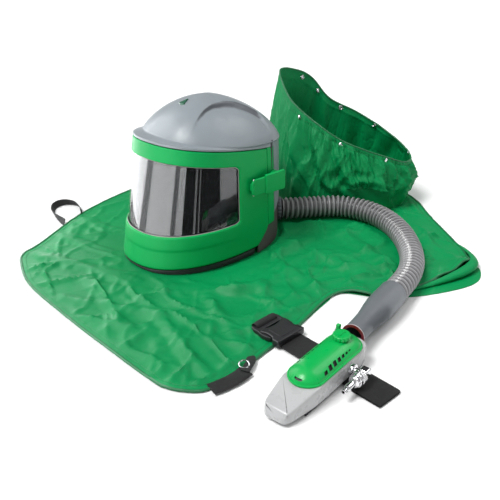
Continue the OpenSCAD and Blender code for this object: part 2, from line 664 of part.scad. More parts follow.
module belt_plate() color(black) unit() difference() {
    translate([-62, -26, 0.2]) cube([150, 52, 3]);
    for (x = [-48, 14], y = [-16, 16]) translate([x, y, -1]) cylinder(r = 1.6, h = 8);
}
module plate_screws() color(metal) unit() for (x = [-48, 14], y = [-16, 16])
    translate([x, y, 0.3]) cylinder(r = 1.5, h = 8.2);

// ---- Belt ----

module belt_webbing() color(black) belt() translate([0, belt_w / 2, 0]) rotate([90, 0, 0])
    linear_extrude(belt_w) polygon([
        [-49, belt_h], [144, belt_h], [147, 3.3], [144, 3], [86, 3], [86, 0.5], [146, 0.5],
        [150, 1.5], [150, 5], [147, belt_h + belt_t], [-49, belt_h + belt_t]]);

socket_low = 3.6;
socket_h = 13;
module buckle_socket() color(black) belt() difference() {
    translate([-90, -30, socket_low]) cube([42, 60, socket_h]);
    translate([-91, -24, socket_low + 3]) cube([33, 48, socket_h - 6]);
    for (side = [-1, 1]) translate([-80, side * 30 - 7, socket_low + 3]) cube([16, 14, socket_h - 6]);
    translate([-49.5, -belt_w / 2 - 0.5, -1]) cube([4, belt_w + 1, 9]);
}
module buckle_prongs() color(black) belt() difference() {
    union() {
        translate([-112, -30, socket_low]) cube([21.4, 60, socket_h - 1]);
        for (side = [-1, 1]) translate([-92, side * 18 - 3, socket_low + 3.6]) cube([30, 6, socket_h - 7.2]);
        translate([-92, -4, socket_low + 3.6]) cube([22, 8, socket_h - 7.2]);
    }
    translate([-107, -belt_w / 2 - 0.5, 0]) cube([7, belt_w + 1, 30]);
}

// ---- Cape ----

function pulled_in(ring, s) = let (m = [200, 248]) [for (p = ring) mix(m, [p[0], p[1]], s)];
module cape_front() color(cape_green) kit() difference() {
    union() {
        translate([0, 0, 1.6]) linear_extrude(cape_t - 1.6) polygon(cape_outline);
        linear_extrude(1.7) intersection() {
            polygon(cape_outline);
            translate([-500, -500]) square([650, 900]);
        }
    }
    translate([0, 0, -1]) linear_extrude(10) polygon(pulled_in(collar_base, 0.9));
}
module cape_back() color(cape_green) kit() linear_extrude(1.4) polygon(cape_back_outline);
module cape_fold() color(cape_green) kit() hull() {
    translate([415, -75, 13.5]) sphere(r = 10, $fn = 16);
    translate([345, -122, 8]) sphere(r = 4.5, $fn = 16);
}

collar_levels = [0, 0.3, 0.62, 1];
collar_n = len(collar_base);
function collar_bulge(s) = 1 + 0.1 * sin(180 * s);
function collar_wall(j, s, inset) =
    let (b = [collar_base[j][0], collar_base[j][1], cape_t + 0.2])
    let (m = mix([200, 248, cape_t], [205, 258, 165], s))
    let (p = mix(b, collar_rim[j], s)) let (v = [p[0] - m[0], p[1] - m[1], 0])
    p + v * (collar_bulge(s) - 1 - inset / norm(v));
module cape_collar() color(cape_green) kit() loop_solid([for (j = [0:collar_n - 1]) concat(
    [for (i = [3:-1:0]) collar_wall(j, collar_levels[i], 0)],
    [for (s = collar_levels) collar_wall(j, s, collar_t)])]);
module snap(j) {
    p = collar_wall(j, 0.93, collar_t / 2);
    v = p - [205, 258, p[2]];
    translate(p) rotate([0, 0, atan2(v[1], v[0])]) rotate([0, 90, 0])
        cylinder(r = 4.5, h = 6, center = true);
}
module collar_snaps() color(metal) kit() for (j = [2, 4, 6, 8, 10, 11, 12, 13]) snap(j);

loop_outer = [[-362, 157], [-372, 196], [-402, 210], [-432, 204], [-437, 180], [-424, 140], [-396, 98]];
module strap_loop() color(black) kit() translate([0, 0, 0.3]) linear_extrude(5.8)
    difference() {
        polygon(concat(loop_outer, [[-388, 112]], [[-366, 150]]));
        polygon([[-369, 162], [-376, 192], [-403, 206], [-428, 200], [-433, 180], [-420, 142], [-394, 112]]);
    }
module side_strap() color(black) kit() translate([0, 0, cape_t + 0.2]) linear_extrude(belt_t)
    polygon([[-64, -418], [-58, -447], [-8, -427], [0, -390], [-18, -372]]);
module strap_ring() color(metal) kit() translate([-9, -377, cape_t + 2.8])
    rotate_extrude() translate([7, 1.2]) circle(r = 1.1, $fn = 16);

helmet_shell();
side_band_left();
side_band_right();
crown_badge();
face_surround();
face_seal();
chin_plate();
rim_seal();
neck_collar();
hinge_bracket();
hinge_pin();
visor_frame();
hinge_leaf();
lens_gasket();
outer_lens();
tear_off_lens();
tear_off_tab();
lens_retainer();
inner_lens();
latch_lug();
latch_pin();
latch_lever();
latch_keeper();
headband();
brow_pad();
crown_straps();
crown_pad();
ratchet_housing();
ratchet_knob();
air_duct();
air_spigot();
swivel_nut();
breathing_tube();
lower_cuff();
coupling_ring();
valve_housing();
valve_cover();
valve_cartridge();
vortex_tube();
silencer_foam();
flow_dial();
release_lever();
release_pin();
inlet_elbow();
inlet_plug();
inlet_sleeve();
belt_plate();
plate_screws();
belt_webbing();
buckle_socket();
buckle_prongs();
cape_front();
cape_back();
cape_fold();
cape_collar();
collar_snaps();
strap_loop();
side_strap();
strap_ring();
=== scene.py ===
"""Looks of an air-fed blasting respirator kit laid out flat: helmet, cape, breathing tube and belt valve.

Everything is placed in millimetres in the layout's own frames (kit, helmet, unit, belt, hinge), the same
frames as the CAD source, and stored in metres.
"""

import math

import bmesh
import bpy
import numpy as np
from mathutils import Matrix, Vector, noise
from mathutils.geometry import delaunay_2d_cdt


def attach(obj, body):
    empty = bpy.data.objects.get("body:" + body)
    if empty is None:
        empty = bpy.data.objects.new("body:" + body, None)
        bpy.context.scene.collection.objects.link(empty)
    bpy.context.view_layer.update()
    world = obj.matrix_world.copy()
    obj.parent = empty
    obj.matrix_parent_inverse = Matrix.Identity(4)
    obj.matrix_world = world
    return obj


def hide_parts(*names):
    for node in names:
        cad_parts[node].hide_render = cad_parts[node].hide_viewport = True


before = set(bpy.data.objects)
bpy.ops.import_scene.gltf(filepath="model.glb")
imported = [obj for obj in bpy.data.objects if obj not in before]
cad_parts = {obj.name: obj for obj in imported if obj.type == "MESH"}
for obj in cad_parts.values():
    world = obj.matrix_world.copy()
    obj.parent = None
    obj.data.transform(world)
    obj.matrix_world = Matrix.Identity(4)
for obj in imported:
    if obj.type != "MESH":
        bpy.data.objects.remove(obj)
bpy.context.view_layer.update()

# ---------------------------------------------------------------- frames of reference

LAYOUT_MID = (-4.0, -79.7)
HELMET_POS = (-85.0, 51.0)
LEAN, TURN = math.radians(4), math.radians(48)
HINGE_POS = (-123.0, 187.0)
UNIT_POS, UNIT_TURN = (98.0, -421.0), math.radians(51)
BELT_POS, BELT_TURN = (100.0, -345.0), math.radians(-46)


def kit(p):
    return ((p[0] - LAYOUT_MID[0]) / 1000, (p[1] - LAYOUT_MID[1]) / 1000, p[2] / 1000)


def turned(p, angle, pos):
    c, s = math.cos(angle), math.sin(angle)
    return (pos[0] + p[0] * c - p[1] * s, pos[1] + p[0] * s + p[1] * c, p[2])


def helmet(p):
    x, y, z = turned(p, -TURN, (0, 0))
    c, s = math.cos(LEAN), math.sin(LEAN)
    return kit((HELMET_POS[0] + x, HELMET_POS[1] + y * c + z * s, z * c - y * s))


def hinge(p):
    return kit(turned(p, -TURN, HINGE_POS))


def unit(p):
    return kit(turned(p, UNIT_TURN, UNIT_POS))


def belt(p):
    return kit(turned(p, BELT_TURN, BELT_POS))


def mix(a, b, s):
    return a * (1 - s) + b * s


def step(a, b, x):
    s = min(1.0, max(0.0, (x - a) / (b - a)))
    return s * s * (3 - 2 * s)


# ---------------------------------------------------------------- camera

cam_data = bpy.data.cameras.new("camera")
cam_data.lens = 54.72
cam_data.sensor_width = 36
camera = bpy.data.objects.new("camera", cam_data)
camera.location = kit((0, -1311.9, 727.2))
camera.rotation_euler = (math.radians(90 - 29), 0, 0)
bpy.context.scene.collection.objects.link(camera)
bpy.context.scene.camera = camera

# ---------------------------------------------------------------- materials


def shader(name):
    """New material: its principled node, and a function that adds a node and sets or links its inputs."""
    m = bpy.data.materials.new(name)
    m.use_nodes = True
    tree = m.node_tree

    def add(kind, settings=(), links=()):
        node = tree.nodes.new("ShaderNode" + kind)
        put(node, settings)
        for socket, source in links:
            tree.links.new(source, node.inputs[socket])
        return node
    return m, tree.nodes["Principled BSDF"], add, tree.links.new


def put(node, settings):
    """Sets constants on a node's input sockets from (socket, value) pairs."""
    for socket, value in settings:
        node.inputs[socket].default_value = value


def weave_height(add, coord, scale):
    """Height of a plain weave: two crossed waves and a third one over them."""
    x, y, z = (add("TexWave", [("Scale", scale)], [("Vector", coord)]) for _ in range(3))
    for node, axis in ((x, "X"), (y, "Y"), (z, "Z")):
        node.bands_direction = axis
    crossed = add("Math", (), [(0, x.outputs["Fac"]), (1, y.outputs["Fac"])])
    crossed.operation = "MULTIPLY"
    total = add("Math", (), [(0, crossed.outputs[0]), (1, z.outputs["Fac"])])
    total.operation = "ADD"
    return total.outputs[0]


def material(name, base, rough, spec=0.5, metal=0.0, coat=0.0, sheen=0.0, bump=(), tint=0.12,
             tint_scale=12.0, rough_vary=0.08, attribute=None):
    """Principled material. bump lists (kind, scale, distance in mm); tint is how far noise darkens it.

    attribute is the name of a mesh attribute and the dark colour that it fades in, as painted shade.
    """
    m, bsdf, add, link = shader(name)
    put(bsdf, [("Metallic", metal), ("Specular IOR Level", spec), ("Coat Weight", coat),
               ("Coat Roughness", 0.12),
               ("Sheen Weight", sheen), ("Sheen Roughness", 0.5)])
    coord = add("TexCoord").outputs["Object"]

    def noise_of(scale, detail):
        return add("TexNoise", [("Scale", scale), ("Detail", detail)], [("Vector", coord)]).outputs["Fac"]

    spread = add("MapRange", [("From Min", 0.3), ("From Max", 0.62)], [("Value", noise_of(tint_scale, 4.0))])
    colour = add("MixRGB", [(1, (*[c * (1 - tint) for c in base], 1)), (2, (*base, 1))],
                 [(0, spread.outputs["Result"])]).outputs[0]
    # painted shade: a point attribute fades the colour toward a darker one
    if attribute:
        fade = add("Attribute")
        fade.attribute_name = attribute[0]
        colour = add("MixRGB", [(2, (*attribute[1], 1))], [(0, fade.outputs["Fac"]), (1, colour)]).outputs[0]
    link(colour, bsdf.inputs["Base Color"])
    uneven = add("MapRange", [("From Min", 0.3), ("From Max", 0.7), ("To Min", max(0.02, rough - rough_vary)),
                              ("To Max", min(1.0, rough + rough_vary))],
                 [("Value", noise_of(tint_scale * 6, 6.0))])
    link(uneven.outputs["Result"], bsdf.inputs["Roughness"])

    normal = None
    for kind, scale, distance in bump:
        height = weave_height(add, coord, scale) if kind == "weave" else noise_of(scale, 5.0)
        links = [("Height", height)] + ([("Normal", normal)] if normal else [])
        normal = add("Bump", [("Strength", 0.6), ("Distance", distance / 1000)], links).outputs["Normal"]
    if normal:
        link(normal, bsdf.inputs["Normal"])
    return m


def glass(name, base, rough, alpha):
    """Thin coated pane that is seen through as far as alpha allows."""
    m, bsdf, add, link = shader(name)
    put(bsdf, [("Alpha", alpha), ("Coat Weight", 1.0), ("Coat Roughness", 0.02), ("Specular IOR Level", 0.8)])
    coord = add("TexCoord").outputs["Object"]
    spots = add("TexNoise", [("Scale", 30)], [("Vector", coord)]).outputs["Fac"]
    colour = add("MixRGB", [(1, (*[v * 0.85 for v in base], 1)), (2, (*base, 1))], [(0, spots)])
    link(colour.outputs[0], bsdf.inputs["Base Color"])
    uneven = add("MapRange", [("To Min", rough), ("To Max", rough + 0.03)], [("Value", spots)])
    link(uneven.outputs["Result"], bsdf.inputs["Roughness"])
    return m


PLASTIC_GRAIN = [("noise", 900, 0.02)]
MAT = {
    # the shell's crest step face is darkened with painted shade through its point attribute
    "shell": material("shell_grey", (0.235, 0.268, 0.290), 0.38, spec=0.35, coat=0.05, bump=PLASTIC_GRAIN,
                      tint=0.06, attribute=("painted_shade", (0.085, 0.095, 0.108))),
    "green": material("visor_green", (0.0, 0.385, 0.09), 0.40, spec=0.12, bump=PLASTIC_GRAIN, tint=0.07),
    "badge": material("badge_green", (0.0, 0.10, 0.045), 0.25, coat=0.4, bump=PLASTIC_GRAIN),
    "inner": material("inner_grey", (0.035, 0.037, 0.04), 0.5, bump=PLASTIC_GRAIN),
    "rubber": material("seal_black", (0.012, 0.012, 0.014), 0.55, bump=[("noise", 600, 0.05)]),
    "black": material("retainer_black", (0.016, 0.016, 0.018), 0.4, bump=PLASTIC_GRAIN),
    "taupe": material("neck_taupe", (0.085, 0.066, 0.068), 0.55, bump=[("noise", 500, 0.06)], tint=0.2),
    "lens": glass("lens_clear", (0.012, 0.013, 0.015), 0.03, 0.82),
    "inner_lens": glass("lens_inner", (0.04, 0.045, 0.05), 0.03, 0.35),
    "film": glass("film_clear", (0.01, 0.01, 0.01), 0.02, 0.04),
    "film_edge": material("film_edge", (0.45, 0.42, 0.42), 0.3, bump=PLASTIC_GRAIN),
    "tab": material("tab_white", (0.62, 0.62, 0.62), 0.3, bump=PLASTIC_GRAIN),
    "steel": material("pin_steel", (0.55, 0.55, 0.57), 0.28, metal=1.0, bump=[("noise", 700, 0.02)]),
    "pad": material("pad_fabric", (0.03, 0.03, 0.033), 0.85, sheen=0.3, bump=[("weave", 500, 0.25)]),
    "web": material("web_black", (0.010, 0.010, 0.0105), 0.62, spec=0.3, sheen=0.05,
                    bump=[("weave", 320, 0.30), ("noise", 90, 0.2)], tint=0.3),
    "duct": material("duct_grey", (0.42, 0.43, 0.44), 0.45, bump=PLASTIC_GRAIN),
    "fitting": material("fitting_grey", (0.115, 0.125, 0.14), 0.42, bump=PLASTIC_GRAIN),
    # painted shade darkens the tube in its grooves through its point attribute
    "tube": material("tube_grey", (0.30, 0.295, 0.305), 0.30, coat=0.3, bump=[("noise", 300, 0.06)],
                     attribute=("painted_shade", (0.030, 0.028, 0.031))),
    "cuff": material("cuff_grey", (0.125, 0.138, 0.152), 0.42, bump=[("noise", 400, 0.05)]),
    "red": material("ring_red", (0.13, 0.004, 0.010), 0.3, coat=0.4, bump=PLASTIC_GRAIN),
    "white": material("ring_white", (0.72, 0.70, 0.70), 0.35, bump=PLASTIC_GRAIN),
    "unit": material("unit_grey", (0.44, 0.445, 0.45), 0.30, coat=0.2, bump=PLASTIC_GRAIN, tint=0.05),
    "cover": material("unit_green", (0.0, 0.40, 0.075), 0.34, spec=0.3, coat=0.1, bump=PLASTIC_GRAIN,
                      tint=0.07),
    "chrome": material("chrome", (0.80, 0.80, 0.82), 0.10, metal=1.0, bump=[("noise", 500, 0.01)], tint=0.05,
                       rough_vary=0.04),
    "buckle": material("buckle_black", (0.016, 0.016, 0.018), 0.34, spec=0.4, bump=PLASTIC_GRAIN),
    "cape": material("cape_green", (0.0, 0.245, 0.07), 0.46, spec=0.14,
                     bump=[("weave", 420, 0.10), ("noise", 160, 0.25)], tint=0.12, tint_scale=9),
    "piping": material("cape_piping", (0.0, 0.15, 0.045), 0.5, bump=[("weave", 420, 0.15)], tint=0.2),
    "thread": material("thread_green", (0.01, 0.22, 0.07), 0.6, bump=[("noise", 900, 0.1)]),
}
MAT["nickel"] = MAT["chrome"]

# ---------------------------------------------------------------- building pieces


def piece(name, verts, faces, place, look, replaces=(), sharp=35, values=None, body="respirator"):
    """A mesh piece from points in one of the frames. values is the name and numbers of a point attribute."""
    me = bpy.data.meshes.new(name)
    me.from_pydata([place(v) for v in verts], [], faces)
    if values is not None:
        me.attributes.new(values[0], "FLOAT", "POINT").data.foreach_set("value", values[1])
    bm = bmesh.new()
    bm.from_mesh(me)
    bmesh.ops.remove_doubles(bm, verts=bm.verts, dist=1e-6)
    bmesh.ops.recalc_face_normals(bm, faces=bm.faces)
    bm.to_mesh(me)
    bm.free()
    return finish_piece(me, look, replaces, sharp, body)


def finish_piece(me, look, replaces, sharp, body):
    me.shade_smooth()
    me.set_sharp_from_angle(angle=math.radians(sharp))
    me.materials.append(MAT[look])
    o = bpy.data.objects.new(me.name, me)
    bpy.context.scene.collection.objects.link(o)
    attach(o, body)
    if replaces:
        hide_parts(*replaces)
    return o


def grid_faces(rows, cols, wrap_rows=False, wrap_cols=False, start=0):
    faces = []
    for i in range(rows if wrap_rows else rows - 1):
        for j in range(cols if wrap_cols else cols - 1):
            a, b = start + i * cols, start + (i + 1) % rows * cols
            k = (j + 1) % cols
            faces.append((a + j, a + k, b + k, b + j))
    return faces


def loop_piece(name, sections, *args, **kw):
    """Closed loop of closed sections."""
    rows, cols = len(sections), len(sections[0])
    return piece(name, [p for s in sections for p in s], grid_faces(rows, cols, True, True), *args, **kw)


def tube_mesh(sections):
    """Open run of closed sections with both ends capped by a fan."""
    rows, cols = len(sections), len(sections[0])
    verts = [tuple(p) for s in sections for p in s]
    faces = grid_faces(rows, cols, False, True)
    for row in (0, rows - 1):
        ring = verts[row * cols:(row + 1) * cols]
        verts.append(tuple(sum(c) / cols for c in zip(*ring)))
        faces += [(row * cols + j, row * cols + (j + 1) % cols, len(verts) - 1) for j in range(cols)]
    return verts, faces


def sheet_mesh(outer, inner, wrap=False):
    """Closed solid between two sheets of points. wrap joins the rows' ends."""
    rows, cols = len(outer), len(outer[0])
    n = rows * cols
    verts = [tuple(p) for r in outer for p in r] + [tuple(p) for r in inner for p in r]
    faces = grid_faces(rows, cols, False, wrap) + grid_faces(rows, cols, False, wrap, n)
    for i in (0, rows - 1):
        for j in range(cols if wrap else cols - 1):
            a, b = i * cols + j, i * cols + (j + 1) % cols
            faces.append((a, b, n + b, n + a))
    if not wrap:
        for i in range(rows - 1):
            for j in (0, cols - 1):
                a, b = i * cols + j, (i + 1) * cols + j
                faces.append((a, b, n + b, n + a))
    return verts, faces


def lathe(profile, n, place, flutes=None):
    """Closed surface of revolution round local z from (r, z) pairs; place moves its points."""
    rows = len(profile)
    verts = []
    for r, z in profile:
        for j in range(n):
            a = 2 * math.pi * j / n
            rr = flutes(r, z, a) if flutes else r
            verts.append(place((rr * math.cos(a), rr * math.sin(a), z)))
    faces = grid_faces(rows, n, False, True)
    if profile[0] == profile[-1]:
        return verts, faces
    for row, z in ((0, profile[0][1]), (rows - 1, profile[-1][1])):
        verts.append(place((0, 0, z)))
        faces += [(row * n + j, row * n + (j + 1) % n, len(verts) - 1) for j in range(n)]
    return verts, faces


def turned_piece(name, profile, n, place, look, replaces=(), sharp=40, flutes=None, body="respirator"):
    """A piece made on the lathe; place gives its points in the stored frame."""
    return piece(name, *lathe(profile, n, place, flutes), lambda p: p, look, replaces, sharp, body=body)


def bevelled(name, outline, z0, z1, place, look, bevel=1.2, segments=3, replaces=(), cuts=(), axis="z",
             body="respirator"):
    """Extruded outline with rounded edges. cuts are (point, normal) planes that trim it first."""
    bm = bmesh.new()
    low = [bm.verts.new((x, y, z0)) for x, y in outline]
    high = [bm.verts.new((x, y, z1)) for x, y in outline]
    n = len(outline)
    bm.faces.new(low)
    bm.faces.new(high)
    for i in range(n):
        bm.faces.new((low[i], low[(i + 1) % n], high[(i + 1) % n], high[i]))
    bmesh.ops.recalc_face_normals(bm, faces=bm.faces)
    for point, normal in cuts:
        geom = bm.verts[:] + bm.edges[:] + bm.faces[:]
        r = bmesh.ops.bisect_plane(bm, geom=geom, plane_co=point, plane_no=normal, clear_outer=True)
        edges = [e for e in r["geom_cut"] if isinstance(e, bmesh.types.BMEdge)]
        bmesh.ops.contextual_create(bm, geom=edges)
    bmesh.ops.recalc_face_normals(bm, faces=bm.faces)
    if bevel:
        edges = [e for e in bm.edges if len(e.link_faces) == 2 and e.calc_face_angle() > math.radians(24)]
        bmesh.ops.bevel(bm, geom=edges, offset=bevel, segments=segments, profile=0.5, affect="EDGES")
    for v in bm.verts:
        p = v.co
        p = {"z": (p.x, p.y, p.z), "x": (p.z, p.x, p.y), "y": (p.x, -p.z, p.y)}[axis]
        v.co = place(p)
    me = bpy.data.meshes.new(name)
    bm.to_mesh(me)
    bm.free()
    o = finish_piece(me, look, replaces, 40, body)
    for face in me.polygons:
        if len(face.vertices) > 4:
            face.use_smooth = False
    return o


def smooth(points, n, closed=False):
    """n points evenly spaced along a smooth curve through the given ones."""
    p = np.array(points, float)
    m = len(p)
    get = (lambda i: p[i % m]) if closed else (lambda i: p[min(max(i, 0), m - 1)])
    out = []
    for i in range(m if closed else m - 1):
        a, b, c, d = get(i - 1), get(i), get(i + 1), get(i + 2)
        if not closed and i == 0:
            a = 2 * b - c
        if not closed and i == m - 2:
            d = 2 * c - b
        for s in np.linspace(0, 1, 16, endpoint=False):
            out.append(0.5 * (2 * b + (c - a) * s + (2 * a - 5 * b + 4 * c - d) * s * s
                              + (3 * b - a - 3 * c + d) * s ** 3))
    out = np.array(out + [p[0] if closed else p[-1]])
    length = np.concatenate([[0], np.cumsum(np.linalg.norm(np.diff(out, axis=0), axis=1))])
    at = np.linspace(0, length[-1], n + 1)[:-1] if closed else np.linspace(0, length[-1], n)
    return np.stack([np.interp(at, length, out[:, k]) for k in range(out.shape[1])], axis=1)


def directions(path, closed=False):
    d = (np.roll(path, -1, 0) - np.roll(path, 1, 0)) if closed else np.gradient(path, axis=0)
    return d / np.linalg.norm(d, axis=1)[:, None]


def ring(p, d, radius, n, up=(0, 0, 1)):
    d = Vector(d).normalized()
    side = Vector(up).cross(d).normalized()
    top = d.cross(side)
    return [tuple(Vector(p) + radius * (math.cos(a) * side + math.sin(a) * top))
            for a in (2 * math.pi * j / n for j in range(n))]


# ---------------------------------------------------------------- breathing tube

TUBE_R = 23.0
TUBE_ROUTE = [
    (66, 128, 30), (90, 131, 29), (115, 136, 28), (140, 141, 27), (165, 144, 27),
    (190, 144, 27), (212, 138, 27), (232, 128, 27), (251, 113, 27), (268, 94, 27),
    (283, 68, 27), (294, 38, 27), (301, 6, 27), (304, -27, 27), (304, -60, 27),
    (300, -92, 27), (292, -122, 27), (280, -150, 27), (264, -177, 27), (247, -202, 27),
]
CUFF_END = (161.0, -333.0, 30.0)
RIB_PITCH = 10.2
PER_RIB = 10

route = smooth(TUBE_ROUTE, 200)
tube_length = float(np.sum(np.linalg.norm(np.diff(route, axis=0), axis=1)))
ribs = round(tube_length / RIB_PITCH)
line = smooth(TUBE_ROUTE, ribs * PER_RIB + 1)
line_dir = directions(line)
sections, painted_shade = [], []
for i, (p, d) in enumerate(zip(line, line_dir)):
    phase = 0.5 - 0.5 * math.cos(2 * math.pi * i / PER_RIB)
    depth = phase ** 0.8
    if i < 3 or i > len(line) - 4:
        depth = 0.35
    radius = TUBE_R - 0.1 - 3.6 * depth
    sections.append(ring(p, d, radius, 44))
    # painted shade: each ring is darkened as deep as its groove is
    painted_shade += [depth] * 44
verts, faces = tube_mesh(sections)
painted_shade += [0.5, 0.5]
hose = piece("corrugated_tube", verts, faces, kit, "tube", ["breathing_tube"], 60,
             ("painted_shade", painted_shade))

# ---------------------------------------------------------------- helmet surfaces, as in the CAD source

PLAN_POWER = 2.3
DOME_POWER = 1.53
CROWN_H = 296.0
DOME_BASE_H = 200.0
SEAM, BAND_END, CORNER, WINDOW_HALF = 110.4, 121.2, 98.3, 86.0
RIM_GAP, FRAME_T, SHELL_T, CAPE_T = 1.5, 3.5, 3.0, 3.2


def power(v, e):
    return math.copysign(abs(v) ** e, v)


def oval(t, half_w, reach):
    a = math.radians(t)
    return half_w * power(math.sin(a), 2 / PLAN_POWER), -reach * power(math.cos(a), 2 / PLAN_POWER)


def wall(t, z, inset=0.0):
    k = (z - 3) / 231
    reach = mix(180, 139, k) if math.cos(math.radians(t)) > 0 else 150
    x, y = oval(t, mix(123, 113, k) - inset, reach - inset)
    return x, y, z


def rim_z(t):
    return 3 + 0.06 * (wall(t, 3)[1] + 180)


def visor_low_z(t):
    return rim_z(t) + max(0.0, abs(t) - CORNER) / (SEAM - CORNER) * 28


def visor_top_z(t):
    return 229 - 0.14 * (wall(t, 229)[1] + 139)


def window_top_z(t):
    return 201 - 0.14 * (wall(t, 201)[1] + 139)


def window_low_z(t):
    return 64 + 0.06 * (wall(t, 64)[1] + 180)


def level_z(x, y, h):
    return (h + math.sin(LEAN) * (math.cos(TURN) * y - math.sin(TURN) * x)) / math.cos(LEAN)


def dome(t, k, inset=0.0):
    e = DOME_POWER + 0.3 * max(0.0, math.cos(math.radians(t)))
    r = max(0.0, 1 - k ** e) ** (1 / e)
    reach = 128 if math.cos(math.radians(t)) > 0 else 151
    x, y = oval(t, r * (120 - inset), r * (reach - inset))
    return x, y, DOME_BASE_H + k * (CROWN_H - DOME_BASE_H - inset)


def between(a, b, s):
    return tuple(mix(p, q, s) for p, q in zip(a, b))


# ---------------------------------------------------------------- helmet shell

CREST_TOP = ((-84, -60, -40, -14, 16, 46, 74, 92), (66, 54, 46, 39, 36, 38, 46, 54))
CREST_LOW = ((-84, -60, -40, -14, 12, 34, 64, 92), (66.5, 56, 50, 47, 48, 51, 60, 72))


def crest(p):
    """How far the shell steps in beside the raised crest, and how much of the step's face a point is on; that face gets
    painted shade.
    """
    x, y, z = p
    top, low = np.interp(y, *CREST_TOP), np.interp(y, *CREST_LOW)
    side = step(top, low + 0.01, abs(x))
    ends = step(-86, -40, y) * (1 - step(84, 86, y)) * step(222, 232, z)
    face = step(top - 1.0, top + 1.0, abs(x)) * (1 - step(low - 3, low + 2, abs(x)))
    return 5.5 * side * math.exp(-max(0.0, abs(x) - low) / 24) * ends, face * ends


def shell_profile(t, inset, shade):
    """Points up the shell from its lower edge to the crown."""
    behind = BAND_END + 0.2 < t < 360 - BAND_END - 0.2
    low = 50 + 0.6 * (wall(t, 60)[1] - 60) if behind else visor_top_z(t) + RIM_GAP
    rise = 6.5 * max(0.0, min(1.0, wall(t, 229)[1] / 150))
    brim = visor_top_z(t) + RIM_GAP + 4.5 + rise - inset
    outside = inset == 0
    out = [wall(t, low, inset + (1.2 if outside else 0)), wall(t, low + 0.4, inset + (0.3 if outside else 0))]
    for s in (0.15, 0.3, 0.45, 0.6, 0.75, 0.88):
        out.append(wall(t, mix(low + 0.4, brim - 0.5, s), inset))
    out += [wall(t, brim - 0.5, inset + 0.4), wall(t, brim, inset + 1.8)]
    k0 = max(0.02, (brim + inset + 3 - DOME_BASE_H) / (CROWN_H - DOME_BASE_H))
    foot = dome(t, k0, inset)
    corner = (foot[0], foot[1], brim + 0.2)
    start = between(out[-1], corner, 0.45)
    out.append(between(out[-1], start, 0.5))
    for s in (0.0, 0.3, 0.6, 0.85):
        out.append(between(between(start, corner, s), between(corner, foot, s), s))
    for i in range(61):
        k = 1 - (1 - k0) * (1 - i / 60) ** DOME_POWER
        p = dome(t, k, inset) if i < 60 else (0.0, 0.0, CROWN_H - inset)
        depth, face = crest(p)
        v = Vector((p[0], p[1], p[2] - 200))
        v *= 1 - depth / v.length
        out.append((v.x, v.y, v.z + 200))
        # painted shade: the crest's step face is marked to be darkened
        shade[len(out) - 1] = face
    return out


shell_angles = ([float(t) for t in np.linspace(-BAND_END, BAND_END, 139)] + [BAND_END + 0.4]
                + [float(t) for t in np.linspace(123, 237, 58)] + [360 - BAND_END - 0.4])
columns_out, columns_in, shade = [], [], []
for t in shell_angles:
    marks = {}
    columns_out.append(shell_profile(t, 0.0, marks))
    columns_in.append(shell_profile(t, SHELL_T, {}))
    shade.append([marks.get(i, 0.0) for i in range(len(columns_out[-1]))])
rows_out, rows_in = list(zip(*columns_out)), list(zip(*columns_in))
verts, faces = sheet_mesh(rows_out, rows_in, wrap=True)
values = [v for row in zip(*shade) for v in row] + [0.0] * (len(verts) // 2)
piece("helmet_crown", verts, faces, helmet, "shell", ["helmet_shell"], 40,
      ("painted_shade", values))


def patch(ts, low, high, rows, inset, thick, edge=0.9):
    """Closed piece of the helmet's wall, between two height functions, with softened edges."""
    def grid(base, soft):
        out = []
        n, m = rows, len(ts)
        for i in range(n):
            s = i / (n - 1)
            row = []
            for j, t in enumerate(ts):
                near = min(i, n - 1 - i, j, m - 1 - j)
                extra = (edge, edge * 0.25, 0)[min(near, 2)] if soft else 0
                row.append(wall(t, mix(low(t), high(t), s), base + extra))
            out.append(row)
        return out
    return sheet_mesh(grid(inset, True), grid(inset + thick, False))


def stepped(a, b, n, edge):
    """Evenly spaced numbers with two close ones at each end, for a softened edge."""
    mid = np.linspace(a, b, n)
    e = math.copysign(edge, b - a)
    return [a, a + e * 0.4, a + e] + [float(v) for v in mid[1:-1]] + [b - e, b - e * 0.4, b]


for name, sign in (("side_band_left", 1), ("side_band_right", -1)):
    ts = [sign * t for t in stepped(SEAM + 0.4, BAND_END - 0.4, 8, 0.45)]
    verts, faces = patch(ts, lambda t: 48.0, lambda t: visor_top_z(t) + 1, 60, 0, SHELL_T)
    piece(name + "_shell", verts, faces, helmet, "green", [name], 50)

badge = [(0, -38.5, 289.4), (8.5, -55, 283.2), (0, -57.5, 283.2), (-8.5, -55, 283.2)]
verts = [(x * (1 - 0.06 * d), y, z + d) for d in (0.0, 3.4) for x, y, z in badge]
piece("crown_fin", verts, [(0, 1, 2, 3), (4, 5, 6, 7), (0, 1, 5, 4), (1, 2, 6, 5), (2, 3, 7, 6),
      (3, 0, 4, 7)], helmet, "badge", ["crown_badge"], 20)

# ---------------------------------------------------------------- visor frame and lenses


def window_spot(s, half, low, high):
    if s < 1:
        return mix(-half, half, s), high
    if s < 2:
        return half, mix(high, low, s - 1)
    if s < 3:
        return mix(half, -half, s - 2), low
    return -half, mix(low, high, s - 3)


def corner_shift(s, radius, length_u, length_v, mm_per_angle):
    """Rounds a window's corners: shift in angle and height of the loop point at s."""
    side = int(s) % 4
    along = s - int(s)
    length = (length_u, length_v, length_u, length_v)[side]
    near_end = along > 0.5
    d = (1 - along if near_end else along) * length
    if d >= radius:
        return 0.0, 0.0
    a = math.radians(45) * (1 - d / radius)
    forward = radius * math.sin(a) - (radius - d)
    inward = radius * (1 - math.cos(a))
    sign = 1 if near_end else -1
    du, dv = ((sign * forward, -inward), (-inward, -sign * forward),
              (-sign * forward, inward), (inward, sign * forward))[side]
    return du / mm_per_angle, dv


